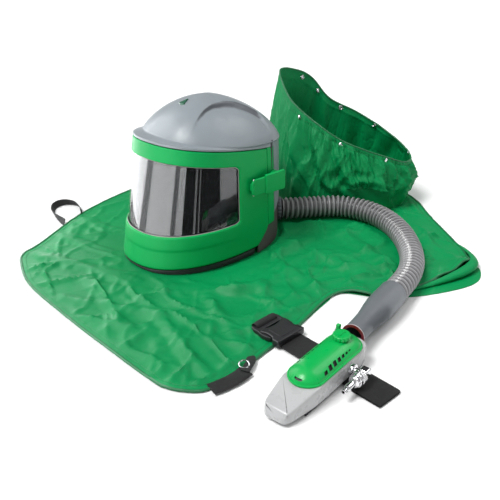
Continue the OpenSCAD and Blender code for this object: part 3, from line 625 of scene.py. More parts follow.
def loop_s(n_long, n_short, fine):
    out = []
    for side, n in enumerate((n_long, n_short, n_long, n_short)):
        inner = list(np.linspace(0, 1, n, endpoint=False))
        extra = [i * fine[side % 2] / 6 for i in range(1, 7)]
        inner = sorted(set([float(v) for v in inner] + extra + [1 - e for e in extra]))
        out += [side + v for v in inner if v < 1]
    return out


LONG_STEPS = loop_s(90, 26, (0.022, 0.06))


def frame_spot(s, k):
    half = mix(WINDOW_HALF, SEAM, k)
    t, up = window_spot(s, half, 0.0, 1.0)
    long_side = s < 1 or 2 <= s < 3
    inner_t = t * WINDOW_HALF / half if long_side else t
    high = mix(window_top_z(inner_t), visor_top_z(t), k)
    low = mix(window_low_z(inner_t), visor_low_z(t), k)
    dt, dz = corner_shift(s, mix(9.0, 3.5, k), 400, 140, 2.4)
    fade = (1 - k) ** 2 + k ** 6
    return t + dt * fade, mix(low, high, up) + dz * fade


FRAME_EDGE = [(0.0, 3.5), (0.0, 1.4), (0.012, 0.5), (0.035, 0.08), (0.07, 0.0)]
FRAME_FLAT = [(k, 0.0) for k in (0.16, 0.26, 0.36, 0.40, 0.43, 0.46, 0.5, 0.6, 0.72, 0.84)]
FRAME_RIM = [(0.93, 0.0), (0.965, 0.08), (0.988, 0.5), (1.0, 1.4), (1.0, 3.5), (0.6, 3.5), (0.3, 3.5)]


def frame_section(s):
    out = []
    for k, inset in FRAME_EDGE + FRAME_FLAT + FRAME_RIM:
        t, z = frame_spot(s, k)
        if 2 <= s < 3 and inset == 0:
            inset = 0.9 * step(0.38, 0.46, k) * step(2.02, 2.16, s) * (1 - step(2.84, 2.98, s)) * (1 - step(0.5, 1, k))
        out.append(wall(t, z, inset))
    return out


loop_piece("visor_surround", [frame_section(s) for s in LONG_STEPS], helmet, "green",
           ["visor_frame"], 42, body="visor")


def window_loop(profile, radius=9.0):
    """Closed ring round the window. profile lists (margin outside the window's edge, inset)."""
    out = []
    for s in LONG_STEPS:
        section = []
        for m, inset in profile:
            t, up = window_spot(s, WINDOW_HALF + 0.35 * m, 0.0, 1.0)
            dt, dz = corner_shift(s, radius, 400, 140, 2.4)
            z = mix(window_low_z(t) - m, window_top_z(t) + m, up)
            section.append(wall(t + dt, z + dz, inset))
        out.append(section)
    return out


loop_piece("window_gasket",
           window_loop([(-1.4, 4.4), (-1.9, 4.0), (-1.4, 3.6), (0, 3.58), (8.6, 3.65), (9, 4.2), (8.6, 5.1), (0, 5.2)]),
           helmet, "rubber", ["lens_gasket"], 60, body="visor")


def pane_mesh(margin, inset, thick, n_t=110, n_z=18):
    half = WINDOW_HALF + 0.35 * margin
    def rows(d):
        return [[wall(t, mix(window_low_z(t) - margin, window_top_z(t) + margin, i / (n_z - 1)), d)
                 for t in (half * (2 * j / (n_t - 1) - 1) for j in range(n_t))] for i in range(n_z)]
    return sheet_mesh(rows(inset), rows(inset + thick))


piece("outer_window", *pane_mesh(8, 5.3, 1.6), helmet, "lens", ["outer_lens"], 30, body="visor")
piece("inner_window", *pane_mesh(6, 9.1, 1.2), helmet, "inner_lens", ["inner_lens"],
      30, body="visor")
loop_piece("tear_off_edge", window_loop([(-0.9, 2.9), (-1.5, 2.6), (-0.9, 2.25), (-0.3, 2.6)], 8.0), helmet,
           "film_edge", (), 60, body="visor")
piece("tear_off_film", *pane_mesh(-1.0, 2.4, 0.5), helmet, "film", ["tear_off_lens"],
      30, body="visor")
loop_piece("lens_clamp_ring", window_loop([(2, 7), (5, 6.95), (8, 7), (8, 8.9), (5, 9), (2, 8.9)]), helmet,
           "black", ["lens_retainer"], 50, body="visor")

ts = stepped(-66.5, -59.5, 8, 1.2)
piece("pull_tab",
      *patch(ts, lambda t: 118 + 0.5 * (abs(t + 63) - 1.5) ** 2,
              lambda t: 144 - 0.5 * (abs(t + 63) - 1.5) ** 2, 14, -3, 5.0, 1.2),
      helmet, "tab", ["tear_off_tab"], 50, body="visor")

# ---------------------------------------------------------------- latch


def rounded_box(x0, x1, y0, y1, radii, n=6):
    """Rectangle outline with corner radii given from the low-low corner, going round."""
    corners = ((x0, y0, 180), (x1, y0, 270), (x1, y1, 0), (x0, y1, 90))
    out = []
    for (x, y, start), r in zip(corners, radii):
        cx, cy = x + (r if x == x0 else -r), y + (r if y == y0 else -r)
        for i in range(n + 1):
            a = math.radians(start + 90 * i / n)
            out.append((cx + r * math.cos(a), cy + r * math.sin(a)))
    return out


bevelled("latch_lever_front", rounded_box(5.6, 44, 123.5, 155.5, (8, 1, 1, 8)), 123.4, 128.4, helmet,
         "green", 1.6, 4, ["latch_lever"], axis="x", body="latch")
bevelled("latch_lever_grip", rounded_box(38, 88, 121.6, 159.4, (2, 4, 4, 2)), 124.3, 130.8, helmet, "green",
         1.6, 4, axis="x", body="latch")
bevelled("latch_keeper_block", [(113, 63), (123, 66), (123, 82), (103.5, 82)], 126, 155, helmet,
         "green", 1.2, 3, ["latch_keeper"])

# ---------------------------------------------------------------- neck and seals

neck_ts = [float(t) for t in np.linspace(CORNER + 1.2, 360 - CORNER - 1.2, 120)]


def neck_top(t):
    b = 360 - t if t > 180 else t
    if b < SEAM:
        return max(visor_low_z(b) - RIM_GAP, rim_z(b) - 1)
    return 46 + 0.6 * max(0.0, wall(b, 60)[1] - 60)


def neck_low(t):
    x, y, z = wall(t, 3, 3.2)
    return level_z(x, y, CAPE_T + 0.2)


piece("neck_cuff", *patch(neck_ts, neck_low, neck_top, 22, 3.2, 2.8, 0.7), helmet, "taupe",
      ["neck_collar"], 50)


def seal_section(t):
    out = []
    for inset, up in ((9.5, 0.1), (5, 0.1), (4.6, 0.5), (5, 0.9), (6.5, 1.0), (9, 0.9)):
        x, y, _ = wall(t, 3, inset)
        low = level_z(x, y, CAPE_T + 0.2)
        out.append((x, y, mix(low, max(low + 0.4, rim_z(t) - 3.7), up)))
    return out


piece("rim_gasket", *tube_mesh([seal_section(float(t)) for t in np.linspace(-96, 96, 140)]), helmet,
      "rubber", ["rim_seal"], 50)

# ---------------------------------------------------------------- tube fittings

START = TUBE_ROUTE[0]


def along_tube(p):
    return kit((START[0] + p[2], START[1] + p[1], START[2] - p[0]))


def knurl(count, depth):
    return lambda r, z, a: r - depth * (0.5 + 0.5 * math.cos(count * a)) ** 2 if r > 21 else r


turned_piece("tube_swivel_nut", [(19.2, -8.7), (22.5, -8.7), (23.6, -8.2), (24, -7), (24, -2), (23.6, -0.9),
             (22.5, -0.4), (19.2, -0.4), (19.2, -8.7)], 144, along_tube, "fitting", ["swivel_nut"], 45,
             flutes=knurl(18, 1.3))

CUFF_START = TUBE_ROUTE[-1]
cuff_axis = Vector(CUFF_END) - Vector(CUFF_START)
CUFF_LEN = cuff_axis.length
cuff_axis.normalize()
cuff_side = Vector((-cuff_axis.y, cuff_axis.x, 0)).normalized()
cuff_up = cuff_axis.cross(cuff_side)


def along_cuff(p):
    return kit(Vector(CUFF_START) + p[2] * cuff_axis + p[0] * cuff_side + p[1] * cuff_up)


cuff_profile = [(17.6, 0.3), (23.2, 0.3), (24.2, 0.8), (24.8, 2.2), (24.9, 6), (24.6, 8.2), (24.9, 10),
                (25, 30), (24.9, 50), (24.4, 62), (23.4, 74), (21.8, 86), (20.2, 97), (19.1, 108),
                (18.6, 120), (18.5, CUFF_LEN - 7), (18.3, CUFF_LEN - 4.6), (17.6, CUFF_LEN - 4),
                (15.2, CUFF_LEN - 4), (15.0, 96), (17.6, 70), (17.6, 0.3)]
turned_piece("lower_cuff_sleeve", cuff_profile, 96, along_cuff, "cuff",
             ["lower_cuff"], 50)
low = CUFF_LEN - 3.8
turned_piece("coupling_ring_white", [(15.3, low), (19.0, low), (19.4, low + 0.5), (19.4, low + 1.5),
             (15.3, low + 1.6), (15.3, low)], 96, along_cuff, "white", (), 40)
turned_piece("coupling_ring_red", [(15.3, low + 1.7), (19.3, low + 1.7), (19.6, low + 2.2),
             (19.5, low + 3.1), (19.0, low + 3.4), (15.3, low + 3.4), (15.3, low + 1.7)], 96, along_cuff,
             "red", ["coupling_ring"], 40)

# ---------------------------------------------------------------- valve unit

UNIT_PLAN = [(-104, -12), (-102, -17), (-97, -21), (-88, -23.8), (-70, -26.5), (-50, -29.3), (-30, -30.5),
             (20, -30.6), (74, -30.5), (88, -29), (97, -25), (102, -18), (104, -10), (104, 10), (102, 19),
             (97, 26), (88, 29.5), (74, 30.5), (20, 30.6), (-30, 30.5), (-50, 29.3), (-70, 26.5),
             (-88, 23.8), (-97, 21), (-102, 17), (-104, 12)]
plan = [tuple(p) for p in smooth(UNIT_PLAN, 150, closed=True)]
slope = Vector((-(36 - 25), 0, 51)).normalized()
nose = Vector((-0.86, 0, 0.51))
bevelled("valve_body", plan, 6.4, 36, unit, "unit", 2.6, 5, ["valve_housing"],
         cuts=[((-48, 0, 36), tuple(slope)), ((-99, 0, 25), tuple(nose))])
turned_piece("inlet_boss", [(0.5, 0), (8.2, 0), (9, 0.8), (9, 10), (0.5, 10)], 48,
             lambda p: unit((46 + p[0], -36 + p[2], 22 + p[1])), "unit", (), 40)
for i, y in enumerate((20, 28.4)):
    bevelled(f"lever_lug_{i}", rounded_box(92, 98, 33, 43, (1, 1, 2.6, 2.6)), -y - 2, -y,
             unit, "unit", 0.4, 2, axis="y")

DOME_R = 34.0
DOME_Z = 39 - math.sqrt(DOME_R ** 2 - 28.5 ** 2)
LOW_X, HIGH_X, DIAL_X = -24.0, 70.0, 64.0


def stadium(r, z, n=40, m=30):
    out = [(mix(LOW_X, HIGH_X, i / m), -r, z) for i in range(m)]
    out += [(HIGH_X + r * math.sin(a), -r * math.cos(a), z) for a in (math.pi * i / n for i in range(n))]
    out += [(mix(HIGH_X, LOW_X, i / m), r, z) for i in range(m)]
    out += [(LOW_X - r * math.sin(a), r * math.cos(a), z) for a in (math.pi * i / n for i in range(n))]
    return out


def dome_height(r):
    return DOME_Z + math.sqrt(DOME_R ** 2 - r * r)


cover = [(27, 35.6), (28.6, 35.6), (29.4, 36.2), (29.7, 37.2), (29.6, 38.6), (29.0, 39.3), (27.9, 39.6),
         (27.1, 39.6), (26.7, 40.3), (26.2, 41.5), (25.6, dome_height(25.8))]
cover += [(r, dome_height(r)) for r in (25.0, 23.5, 22, 20, 18, 16, 13.5, 11, 8.5, 6, 3.5, 1.5, 0.02)]
valve_cover = piece("valve_cover_dome", *tube_mesh([stadium(r, z) for r, z in cover]), unit, "cover",
                    ["valve_cover"], 28)


def cover_point(u, r, lift):
    """Point on the cover's rounded flank: u runs along it, r is the distance from its middle line."""
    n = Vector((0, r, math.sqrt(max(0.0, DOME_R ** 2 - r * r)))) / DOME_R
    p = Vector((u, r, dome_height(abs(r)))) + n * lift
    return tuple(p)


def vent(name, corners, end=False, depth=2.4):
    """Cuts a slot into the cover's flank; its walls and floor are black, painted shade for the dark inside of the slot.
    """
    def at(u, r, lift):
        if not end:
            return cover_point(u, r, lift)
        a = math.radians(u)
        n = Vector((-r * math.cos(a), r * math.sin(a), math.sqrt(DOME_R ** 2 - r * r))) / DOME_R
        p = Vector((LOW_X - r * math.cos(a), r * math.sin(a), dome_height(r))) + n * lift
        return tuple(p)
    n = 6
    ring_pts = []
    for i in range(len(corners)):
        a, b = corners[i], corners[(i + 1) % len(corners)]
        ring_pts += [(mix(a[0], b[0], j / n), mix(a[1], b[1], j / n)) for j in range(n)]
    verts, faces = tube_mesh([[at(u, r, lift) for u, r in ring_pts] for lift in (-depth, 1.5)])
    me = bpy.data.meshes.new(name)
    me.from_pydata([unit(v) for v in verts], [], faces)
    bm = bmesh.new()
    bm.from_mesh(me)
    bmesh.ops.recalc_face_normals(bm, faces=bm.faces)
    bm.to_mesh(me)
    bm.free()
    return me


cutters = []
for i, (u, length, r0, r1) in enumerate(((-17, 11, -25.4, -21.6), (-4, 11, -25.2, -19.4), (8.5, 10.5, -24.8, -19.0),
                                          (20.5, 9.5, -24.2, -19.6), (31.5, 8.5, -23.4, -20.0),
                                          (41.5, 7.5, -22.8, -20.4),
                                          (50.5, 6.5, -22.2, -20.8))):
    cutters.append(vent(f"vent_near_{i}",
                        [(u, r0), (u + length * 0.75, r0), (u + length, r1), (u + length * 0.3, r1)]))
for i, (u, length) in enumerate(((-20, 9), (-8, 9), (4, 9), (16, 8), (27, 7), (37, 6))):
    cutters.append(vent(f"vent_far_{i}", [(u, 23.4), (u + length, 23.4), (u + length, 20.6), (u, 20.6)]))
cutters.append(vent("vent_tip",
               [(-16, 22.6), (16, 22.6), (16, 24.4), (10, 25.2), (-10, 25.2), (-16, 24.4)], True))
tool_mesh = bpy.data.meshes.new("vent_tool")
bm = bmesh.new()
for me in cutters:
    bm.from_mesh(me)
    bpy.data.meshes.remove(me)
bm.to_mesh(tool_mesh)
bm.free()
# black on the cut faces is painted shade inside the vents
tool_mesh.materials.append(MAT["rubber"])
tool = bpy.data.objects.new("vent_tool", tool_mesh)
bpy.context.scene.collection.objects.link(tool)
cut = valve_cover.modifiers.new("vents", "BOOLEAN")
cut.object = tool
cut.operation = "DIFFERENCE"
cut.solver = "EXACT"
cut.material_mode = "TRANSFER"
bpy.context.view_layer.update()
done = bpy.data.meshes.new_from_object(valve_cover.evaluated_get(bpy.context.evaluated_depsgraph_get()))
valve_cover.modifiers.clear()
valve_cover.data = done
done.set_sharp_from_angle(angle=math.radians(28))
bpy.data.objects.remove(tool)

DIAL_Z = DOME_Z + DOME_R + 0.4


def dial(p):
    return unit((DIAL_X + p[0], p[1], DIAL_Z + p[2]))


turned_piece("flow_dial_knob", [(2.9, -26), (2.9, 0), (13.6, 0), (14.2, 0.5), (14.2, 4.6), (13.8, 5.8),
             (12.6, 6.8), (10.8, 7.2), (10.0, 6.8), (9.2, 6.6), (5, 6.9), (0.4, 7.1)], 168, dial,
             "cover", ["flow_dial"], 40, flutes=lambda r, z,
             a: r - 1.1 * max(0.0, math.cos(14 * a)) ** 3 if r > 12 else r, body="flow_dial")
bevelled("flow_dial_pointer", [(-8.0, -1.4), (5.6, -1.4), (5.6, -3.8), (10.2, 0), (5.6, 3.8), (5.6, 1.4),
         (-8.0, 1.4)], 6.7, 8.1, dial, "cover", 0.35, 2, body="flow_dial")

bevelled("release_tab", rounded_box(92.2, 98.2, 37.4, 51.5, (2.4, 2.4, 2, 2)), -28.2, -22.2, unit,
         "cover", 0.8, 3, ["release_lever"], axis="y", body="release_lever")
for i in range(3):
    bevelled(f"release_tab_rib_{i}", rounded_box(98.1, 99.0, 44.6 + i * 2.2, 45.6 + i * 2.2, (0.3,) * 4, 2), -27.6,
             -22.8, unit, "cover", 0.2, 1, axis="y", body="release_lever")


def plug_axis(p):
    return unit((-p[2], -52 + p[1], 22 + p[0]))


bevelled("elbow_block", rounded_box(-59.5, -44.5, 14.5, 29.5, (3,) * 4), 44, 57, unit, "chrome",
         1.6, 4, ["inlet_elbow"], axis="x")
turned_piece("elbow_neck", [(5.3, 0), (5.3, 8), (8.6, 8.2), (9.2, 9), (9.2, 14), (8.6, 14.8), (5.4, 15),
             (5.4, 22)], 48, lambda p: unit((46 + p[0], -45.5 + p[2], 22 + p[1])), "chrome", (), 35)
plug = [(2.5, -43), (5.95, -43), (5.95, -24), (8.6, -23.8), (9, -23.3), (9, -20.4), (8.6, -19.9),
        (6.2, -19.2), (5, -18), (5.1, -17), (5.7, -15), (5.8, -13.4), (5.8, -3), (5.3, -1.4), (4, 0.8),
        (3.9, 3.6), (4.5, 5.4), (4.5, 6.6), (4, 7.9), (2.5, 8), (2.5, -43)]
turned_piece("inlet_nipple", plug, 64, plug_axis, "chrome", ["inlet_plug"], 30)
sleeve = [(6.1, -40.1), (10.6, -40.1), (11.6, -39.6), (12, -38.8), (12, -36), (11.4, -35.6), (11.4, -34.9),
          (12, -34.5), (12, -32.2), (11.4, -31.4), (10.4, -31.1), (10.4, -30.4), (11.2, -29.6),
          (11.4, -28.6), (11.4, -25.6), (10.8, -24.5), (9.4, -24.1), (6.1, -24.1), (6.1, -40.1)]


def sleeve_grip(r, z, a):
    """Fine ribs on the widest rings and shallow hollows round the grip."""
    ribs = 0.45 * (0.5 + 0.5 * math.cos(36 * a)) if r > 11.8 else 0
    hollows = 0.9 * abs(math.sin(3 * a)) if -30 < z < -25 and r > 11 else 0
    return r - ribs - hollows


turned_piece("locking_sleeve", sleeve, 180, plug_axis, "chrome", ["inlet_sleeve"], 35, flutes=sleeve_grip,
             body="inlet_sleeve")

# ---------------------------------------------------------------- belt and buckle


def webbing(name, path, width, thick, place, wave=0.5, replaces=(), n=120, across=12, seed=0.0,
            body="respirator"):
    """Flat strap along a path of (x, y, z); its width is level and square to the path."""
    line_pts = smooth(path, n)
    d = directions(line_pts)
    sections = []
    for i, (p, v) in enumerate(zip(line_pts, d)):
        side = Vector((-v[1], v[0], 0)).normalized()
        up = Vector(v).cross(side)
        top, low = [], []
        for j in range(across + 1):
            s = 2 * j / across - 1
            w = width / 2 * s
            edge = 0.35 * thick * abs(s) ** 8
            lift = wave * noise.noise(Vector((i * 0.07 + seed, s * 0.9, seed)))
            base = Vector(p) + w * side + up * lift
            top.append(tuple(base + up * (thick / 2 - edge)))
            low.append(tuple(base - up * (thick / 2 - edge)))
        sections.append(top + low[::-1])
    verts, faces = tube_mesh(sections)
    return piece(name, verts, faces, place, "web", replaces, 50, body=body)


BELT_MID = 3.6 + 1.2
webbing("belt_strap", [(-49, 0, BELT_MID), (0, 0, BELT_MID), (60, 0, BELT_MID), (110, 0, BELT_MID + 0.2),
        (140, 0, BELT_MID), (147.5, 0, 4.3), (149, 0, 3.0), (146, 0, 1.9), (120, 0, 1.6), (86, 0, 1.6)], 50,
        2.3, belt, 0.35, ["belt_webbing"], 220, 14)


def stitches(name, path, pitch, length, r, place, look, closed=False, lift=0.0):
    """A run of small raised thread stitches along a path."""
    total = float(np.sum(np.linalg.norm(np.diff(np.array(path), axis=0), axis=1)))
    pts = smooth(path, max(4, int(total / pitch)), closed)
    d = directions(pts, closed)
    verts, faces = [], []
    for p, v in zip(pts, d):
        side = np.array([-v[1], v[0], 0.0])
        side /= max(1e-9, np.linalg.norm(side))
        up = np.cross(v, side)
        base = len(verts)
        for s, w in ((-0.5, 0.35), (-0.25, 1.0), (0.25, 1.0), (0.5, 0.35)):
            c = p + v * length * s + up * (lift + r * (w - 0.5))
            for k in range(4):
                a = math.pi / 2 * k
                verts.append(tuple(c + side * r * w * math.cos(a) + up * r * w * math.sin(a)))
        for i in range(3):
            faces += [(base + i * 4 + k, base + i * 4 + (k + 1) % 4, base + (i + 1) * 4 + (k + 1) % 4,
                       base + (i + 1) * 4 + k) for k in range(4)]
        faces += [(base + 3, base + 2, base + 1, base), (base + 12, base + 13, base + 14, base + 15)]
    return piece(name, verts, faces, place, look, (), 60)


for i, x in enumerate((90, 96)):
    stitches(f"belt_bartack_{i}", [(x, -22, 6.1), (x, 0, 6.1), (x, 22, 6.1)], 3.2, 2.4, 0.35, belt, "web")

socket_outline = [(-48, -27), (-48, 27), (-52, 30), (-62, 30), (-66, 26), (-78, 25), (-86, 28), (-90, 29),
                  (-92.5, 22), (-89, 10), (-88, 0), (-89, -10), (-92.5, -22), (-90, -29), (-86, -28),
                  (-78, -25), (-66, -26), (-62, -30), (-52, -30)]
bevelled("buckle_body", [tuple(p) for p in smooth(socket_outline, 90, closed=True)], 3.7, 16.6, belt,
         "buckle", 2.2, 4, ["buckle_socket"])
bevelled("buckle_face", rounded_box(-84, -55, -17, 17, (4,) * 4), 16.4, 17.3, belt, "buckle", 0.6, 3)
for side in (-1, 1):
    bevelled(f"buckle_wing_{'near' if side < 0 else 'far'}",
             [(-112, side * 22), (-111, side * 28), (-106, side * 30), (-96, side * 29.5), (-86, side * 31.5),
              (-76, side * 31), (-68, side * 27.6), (-68, side * 26.4), (-80, side * 25.4), (-93, side * 23)],
             6, 14, belt, "buckle", 1.2, 3, ["buckle_prongs"] if side < 0 else (), body="buckle_prongs")
bevelled("buckle_bar", rounded_box(-112, -105, -29, 29, (2.5,) * 4), 4.2, 14.5, belt, "buckle",
         1.6, 3, body="buckle_prongs")
bevelled("buckle_bridge", rounded_box(-101, -94, -28, 28, (2,) * 4), 4.2, 13.6, belt, "buckle",
         1.4, 3, body="buckle_prongs")
webbing("buckle_web_loop", [(-100, 0, 5.2), (-104, 0, 15.6), (-110, 0, 17.4), (-115, 0, 15), (-116, 0, 9),
        (-112.5, 0, 2.4), (-104, 0, 1.6)], 46, 2.0, belt, 0.2, (), 50, 10, body="buckle_prongs")

# ---------------------------------------------------------------- cape

CAPE_OUTLINE = [(-441, -20), (-435, -59), (-401, -132), (-327, -220), (-243, -310), (-151, -404),
                (-122, -426), (-89, -434), (-60, -428), (-15, -385), (32, -327), (84, -259), (135, -183),
                (171, -160), (228, -178), (268, -156), (327, -128), (394, -82), (414, -60), (410, 25),
                (385, 139), (372, 214), (350, 262), (317, 305), (250, 342), (150, 352), (60, 330),
                (-50, 335), (-150, 326), (-240, 300), (-291, 258), (-362, 155), (-419, 21)]
LOWER_OUTLINE = [(60, -300), (84, -262), (136, -188), (160, -160), (231, -174), (302, -170), (379, -146),
                 (419, -119), (433, -80), (423, -47), (408, 25), (383, 139), (370, 214), (348, 258),
                 (200, 258), (60, 120)]
COLLAR_BASE = [
    (46, 262), (62, 220), (98, 190), (148, 175), (195, 174), (240, 167), (284, 168), (322, 188), (344, 226),
    (334, 268), (296, 306), (232, 330), (160, 336), (98, 322), (60, 296),
]
COLLAR_RIM = [
    (64, 303, 274), (80, 262, 232), (112, 232, 203), (150, 204, 180), (190, 187, 158), (238, 176, 141),
    (290, 184, 121), (330, 203, 103), (350, 228, 103), (340, 260, 116), (300, 297, 142), (240, 326, 173),
    (178, 341, 200), (138, 346, 244), (104, 331, 266),
]


def crease(x, y, seed, angle, size, stretch):
    """Ridged noise stretched along one direction: sharp long folds, from 0 to 1."""
    c, s = math.cos(angle), math.sin(angle)
    u, v = (x * c + y * s) / (size * stretch), (-x * s + y * c) / size
    w = noise.noise(Vector((u * 1.4, v * 1.4, seed + 7))) * 0.5
    return 1 - min(1.0, abs(noise.noise(Vector((u + w, v + w, seed)))) * 2.6)


# long folds pressed into the cloth: start, end, height in mm and half width
FOLDS = [((-420, -20), (-210, -120), 5.0, 12), ((-400, 60), (-250, -20), 4.0, 10), ((-330, -180),
         (-60, -270), 5.5, 13), ((-300, -110), (-190, -300), 4.5, 11), ((-150, -150), (60, -160), 6.0, 14),
         ((-190, -190), (-70, -390), 4.0, 10), ((-80, -170), (-10, -330), 5.0, 12), ((10, -130),
         (60, -270), 4.5, 11), ((60, -80), (140, -170), 5.0, 12), ((-20, -100), (120, 40), 5.0, 13),
         ((130, -20), (230, -130), 6.0, 15), ((190, 60), (270, -90), 6.0, 14), ((250, -130),
         (330, -40), 5.0, 12), ((320, -110), (370, 90), 6.0, 15), ((340, 60), (390, -40), 4.0, 10),
         ((-350, 120), (-240, 60), 3.5, 10), ((-60, -400), (-120, -330), 3.5, 9), ((-230, 250),
         (-90, 290), 4.0, 12)]
# noise creases: height in mm, sharpness, then seed, direction in radians, size in mm and stretch
CREASES = [(7.5, 9, 1.0, 0.45, 96, 2.8), (6.5, 9, 5.0, -0.9, 84, 2.6), (4.5, 8, 9.0, 1.35, 62, 2.4),
           (2.0, 7, 14.0, -0.2, 38, 2.0)]
# places where the cloth stands up: middle, radius and height in mm
RAISED = [((402, -72), 26, 17), ((352, -110), 32, 8), ((414, -20), 30, 7), ((200, -168), 34, 6.5),
          ((300, 40), 50, 5)]


def near_line(x, y, a, b):
    vx, vy = b[0] - a[0], b[1] - a[1]
    s = min(1.0, max(0.0, ((x - a[0]) * vx + (y - a[1]) * vy) / (vx * vx + vy * vy)))
    return math.hypot(x - a[0] - s * vx, y - a[1] - s * vy), s


def helmet_cover(x, y):
    """How much a point lies under the helmet, 0 to 1, and the cloth's rise along the helmet's left and back."""
    c, s = math.cos(TURN), math.sin(TURN)
    dx, dy = x - HELMET_POS[0], y - HELMET_POS[1]
    u, v = dx * c - dy * s, dx * s + dy * c
    r = ((abs(u) / 132) ** 2.3 + (abs(v) / (190 if v < 0 else 160)) ** 2.3) ** (1 / 2.3)
    side = step(0.35, 1.0, (u * 0.9 + v * 0.55) / 100)
    return 1 - step(0.93, 1.0 + 0.12 * (1 - side), r), 6.5 * side * (1 - step(1.0, 1.45, r))


EDGE_POINTS = smooth(CAPE_OUTLINE, 700, closed=True)
# the cloth stays low where the visor swings over it
SWING_MAX_X, SWING_REACH, SWING_CLEAR = 40, 350, 5.5


def cloth_z(x, y):
    """Height of the upper cape's folds and creases over the floor."""
    z = 0.0
    for a, b, h, w in FOLDS:
        d, s = near_line(x, y, a, b)
        if d < 3 * w:
            d = abs(d + 1.5 * math.sin(6 * s + h))
            z += h * math.exp(-(d / w) ** 2) * math.sin(math.pi * (0.08 + 0.84 * s)) ** 0.6
            z -= 0.35 * h * math.exp(-((d - 1.7 * w) / w) ** 2)
    for height, sharpness, *shape in CREASES:
        z += height * crease(x, y, *shape) ** sharpness
    z += 5.0 * (noise.noise(Vector((x / 120, y / 120, 3.3))) + 0.3)
    quiet, lift = helmet_cover(x, y)
    for i in range(0, len(route), 10):
        d = math.hypot(x - route[i][0], y - route[i][1])
        quiet = max(quiet, 1 - step(14, 34, d))
    edge = float(np.min(np.hypot(EDGE_POINTS[:, 0] - x, EDGE_POINTS[:, 1] - y)))
    z = (max(0.0, z) * (0.12 + 0.88 * step(2, 26, edge)) + lift) * (1 - quiet)
    for (cx, cy), r, h in RAISED:
        z += h * math.exp(-(math.hypot(x - cx, y - cy) / r) ** 2)
    if x < SWING_MAX_X and math.hypot(x - HINGE_POS[0], y - HINGE_POS[1]) < SWING_REACH:
        z = SWING_CLEAR * math.tanh(z / SWING_CLEAR)
    return z


def flat_mesh(outline, spacing):
    """Even triangles inside an outline: their points and their faces."""
    around = sum(math.dist(outline[i], outline[(i + 1) % len(outline)]) for i in range(len(outline)))
    border = smooth(outline, int(around / spacing * 1.2), closed=True)
    n = len(border)
    pts = [tuple(p) for p in border]
    (low_x, low_y), (high_x, high_y) = border.min(0), border.max(0)
    row, y = 0, low_y
    while y < high_y:
        x = low_x + (spacing / 2 if row % 2 else 0)
        while x < high_x:
            if np.min(np.hypot(border[:, 0] - x, border[:, 1] - y)) > spacing * 0.6:
                pts.append((x, y))
            x += spacing
        y += spacing * 0.866
        row += 1
    edges = [(i, (i + 1) % n) for i in range(n)]
    out = delaunay_2d_cdt([Vector(p) for p in pts], edges, [list(range(n))], 1, 1e-4)
    return [(v.x, v.y) for v in out[0]], [tuple(f) for f in out[2]]


def cloth_piece(name, outline, spacing, low, thick, height, replaces):
    """Cape layer over an outline: low is its underside on the floor, height lifts it from there."""
    pts, tris = flat_mesh(outline, spacing)
    edges = {(f[i], f[(i + 1) % 3]) for f in tris for i in range(3)}
    border = [(f[i], f[(i + 1) % 3]) for f in tris for i in range(3) if (f[(i + 1) % 3], f[i]) not in edges]
    n = len(pts)
    top = [(x, y, low + thick + height(x, y)) for x, y in pts]
    bottom = [(x, y, z - thick) for x, y, z in top]
    faces = tris + [tuple(n + i for i in f[::-1]) for f in tris] + [(a, n + a, n + b, b) for a, b in border]
    return piece(name, top + bottom, faces, kit, "cape", replaces, 60)


SPACING = 4.8
cape_top = cloth_piece("cape_upper", CAPE_OUTLINE, SPACING, 1.7, 1.4, cloth_z, ["cape_front", "cape_fold"])
cape_low = cloth_piece("cape_lower", LOWER_OUTLINE, SPACING * 1.6, 0.05, 1.3, lambda x, y: 0.0,
                       ["cape_back"])

# the turned-up edge at the wearer's right: places and the roll's radius in mm
ROLL = [(292, -152, 2.4), (330, -136, 4.5), (368, -116, 7.5), (398, -96, 10.0), (417, -74, 10.6),
        (421, -46, 9.0), (416, -12, 6.0), (410, 16, 3.4)]
ROLL_WIDE, ROLL_HIGH, ROLL_CLOTH = 1.15, 0.85, 1.3


def roll_section(i, x, y, r, d):
    """Outer and inner points across the rolled edge, from its foot over the top and back down."""
    nx, ny = d[1] / math.hypot(d[0], d[1]), -d[0] / math.hypot(d[0], d[1])
    r = r + 0.5 * noise.noise(Vector((i * 0.11, 0.3, 2.0)))
    angles = [math.radians(-95 + 205 * k / 18) for k in range(19)]
    return [[(x + nx * rr * math.cos(a) * ROLL_WIDE, y + ny * rr * math.cos(a) * ROLL_WIDE,
              1.5 + (r + rr * math.sin(a)) * ROLL_HIGH) for a in angles] for rr in (r, max(0.6, r - ROLL_CLOTH))]


roll_line = smooth(ROLL, 90)
roll = [roll_section(i, *p, d) for i, (p, d) in enumerate(zip(roll_line, directions(roll_line)))]
cape_roll = piece("cape_rolled_edge", *sheet_mesh(*zip(*roll)), kit, "cape", (),
                  60)


def offset_loop(loop, n, inward):
    pts = smooth(loop, n, closed=True)
    d = directions(pts, True)
    return [(p[0] - v[1] * inward, p[1] + v[0] * inward) for p, v in zip(pts, d)]


# the outline runs anticlockwise, so its inside is on the left
piping_line = [(x, y, 2.6 + cloth_z(x, y)) for x, y in offset_loop(CAPE_OUTLINE, 640, 0.0)]
sections = [ring(p, d, 2.3, 8) for p, d in zip(piping_line, directions(np.array(piping_line), True))]
piping = loop_piece("cape_piping", sections, kit, "piping", (), 80)
hem_line = [(x, y, 3.3 + cloth_z(x, y)) for x, y in offset_loop(CAPE_OUTLINE, 640, 9.5)]
stitches("cape_hem_stitches", hem_line, 5.0, 3.4, 0.5, kit, "thread",
         closed=True)

# ---------------------------------------------------------------- cape collar

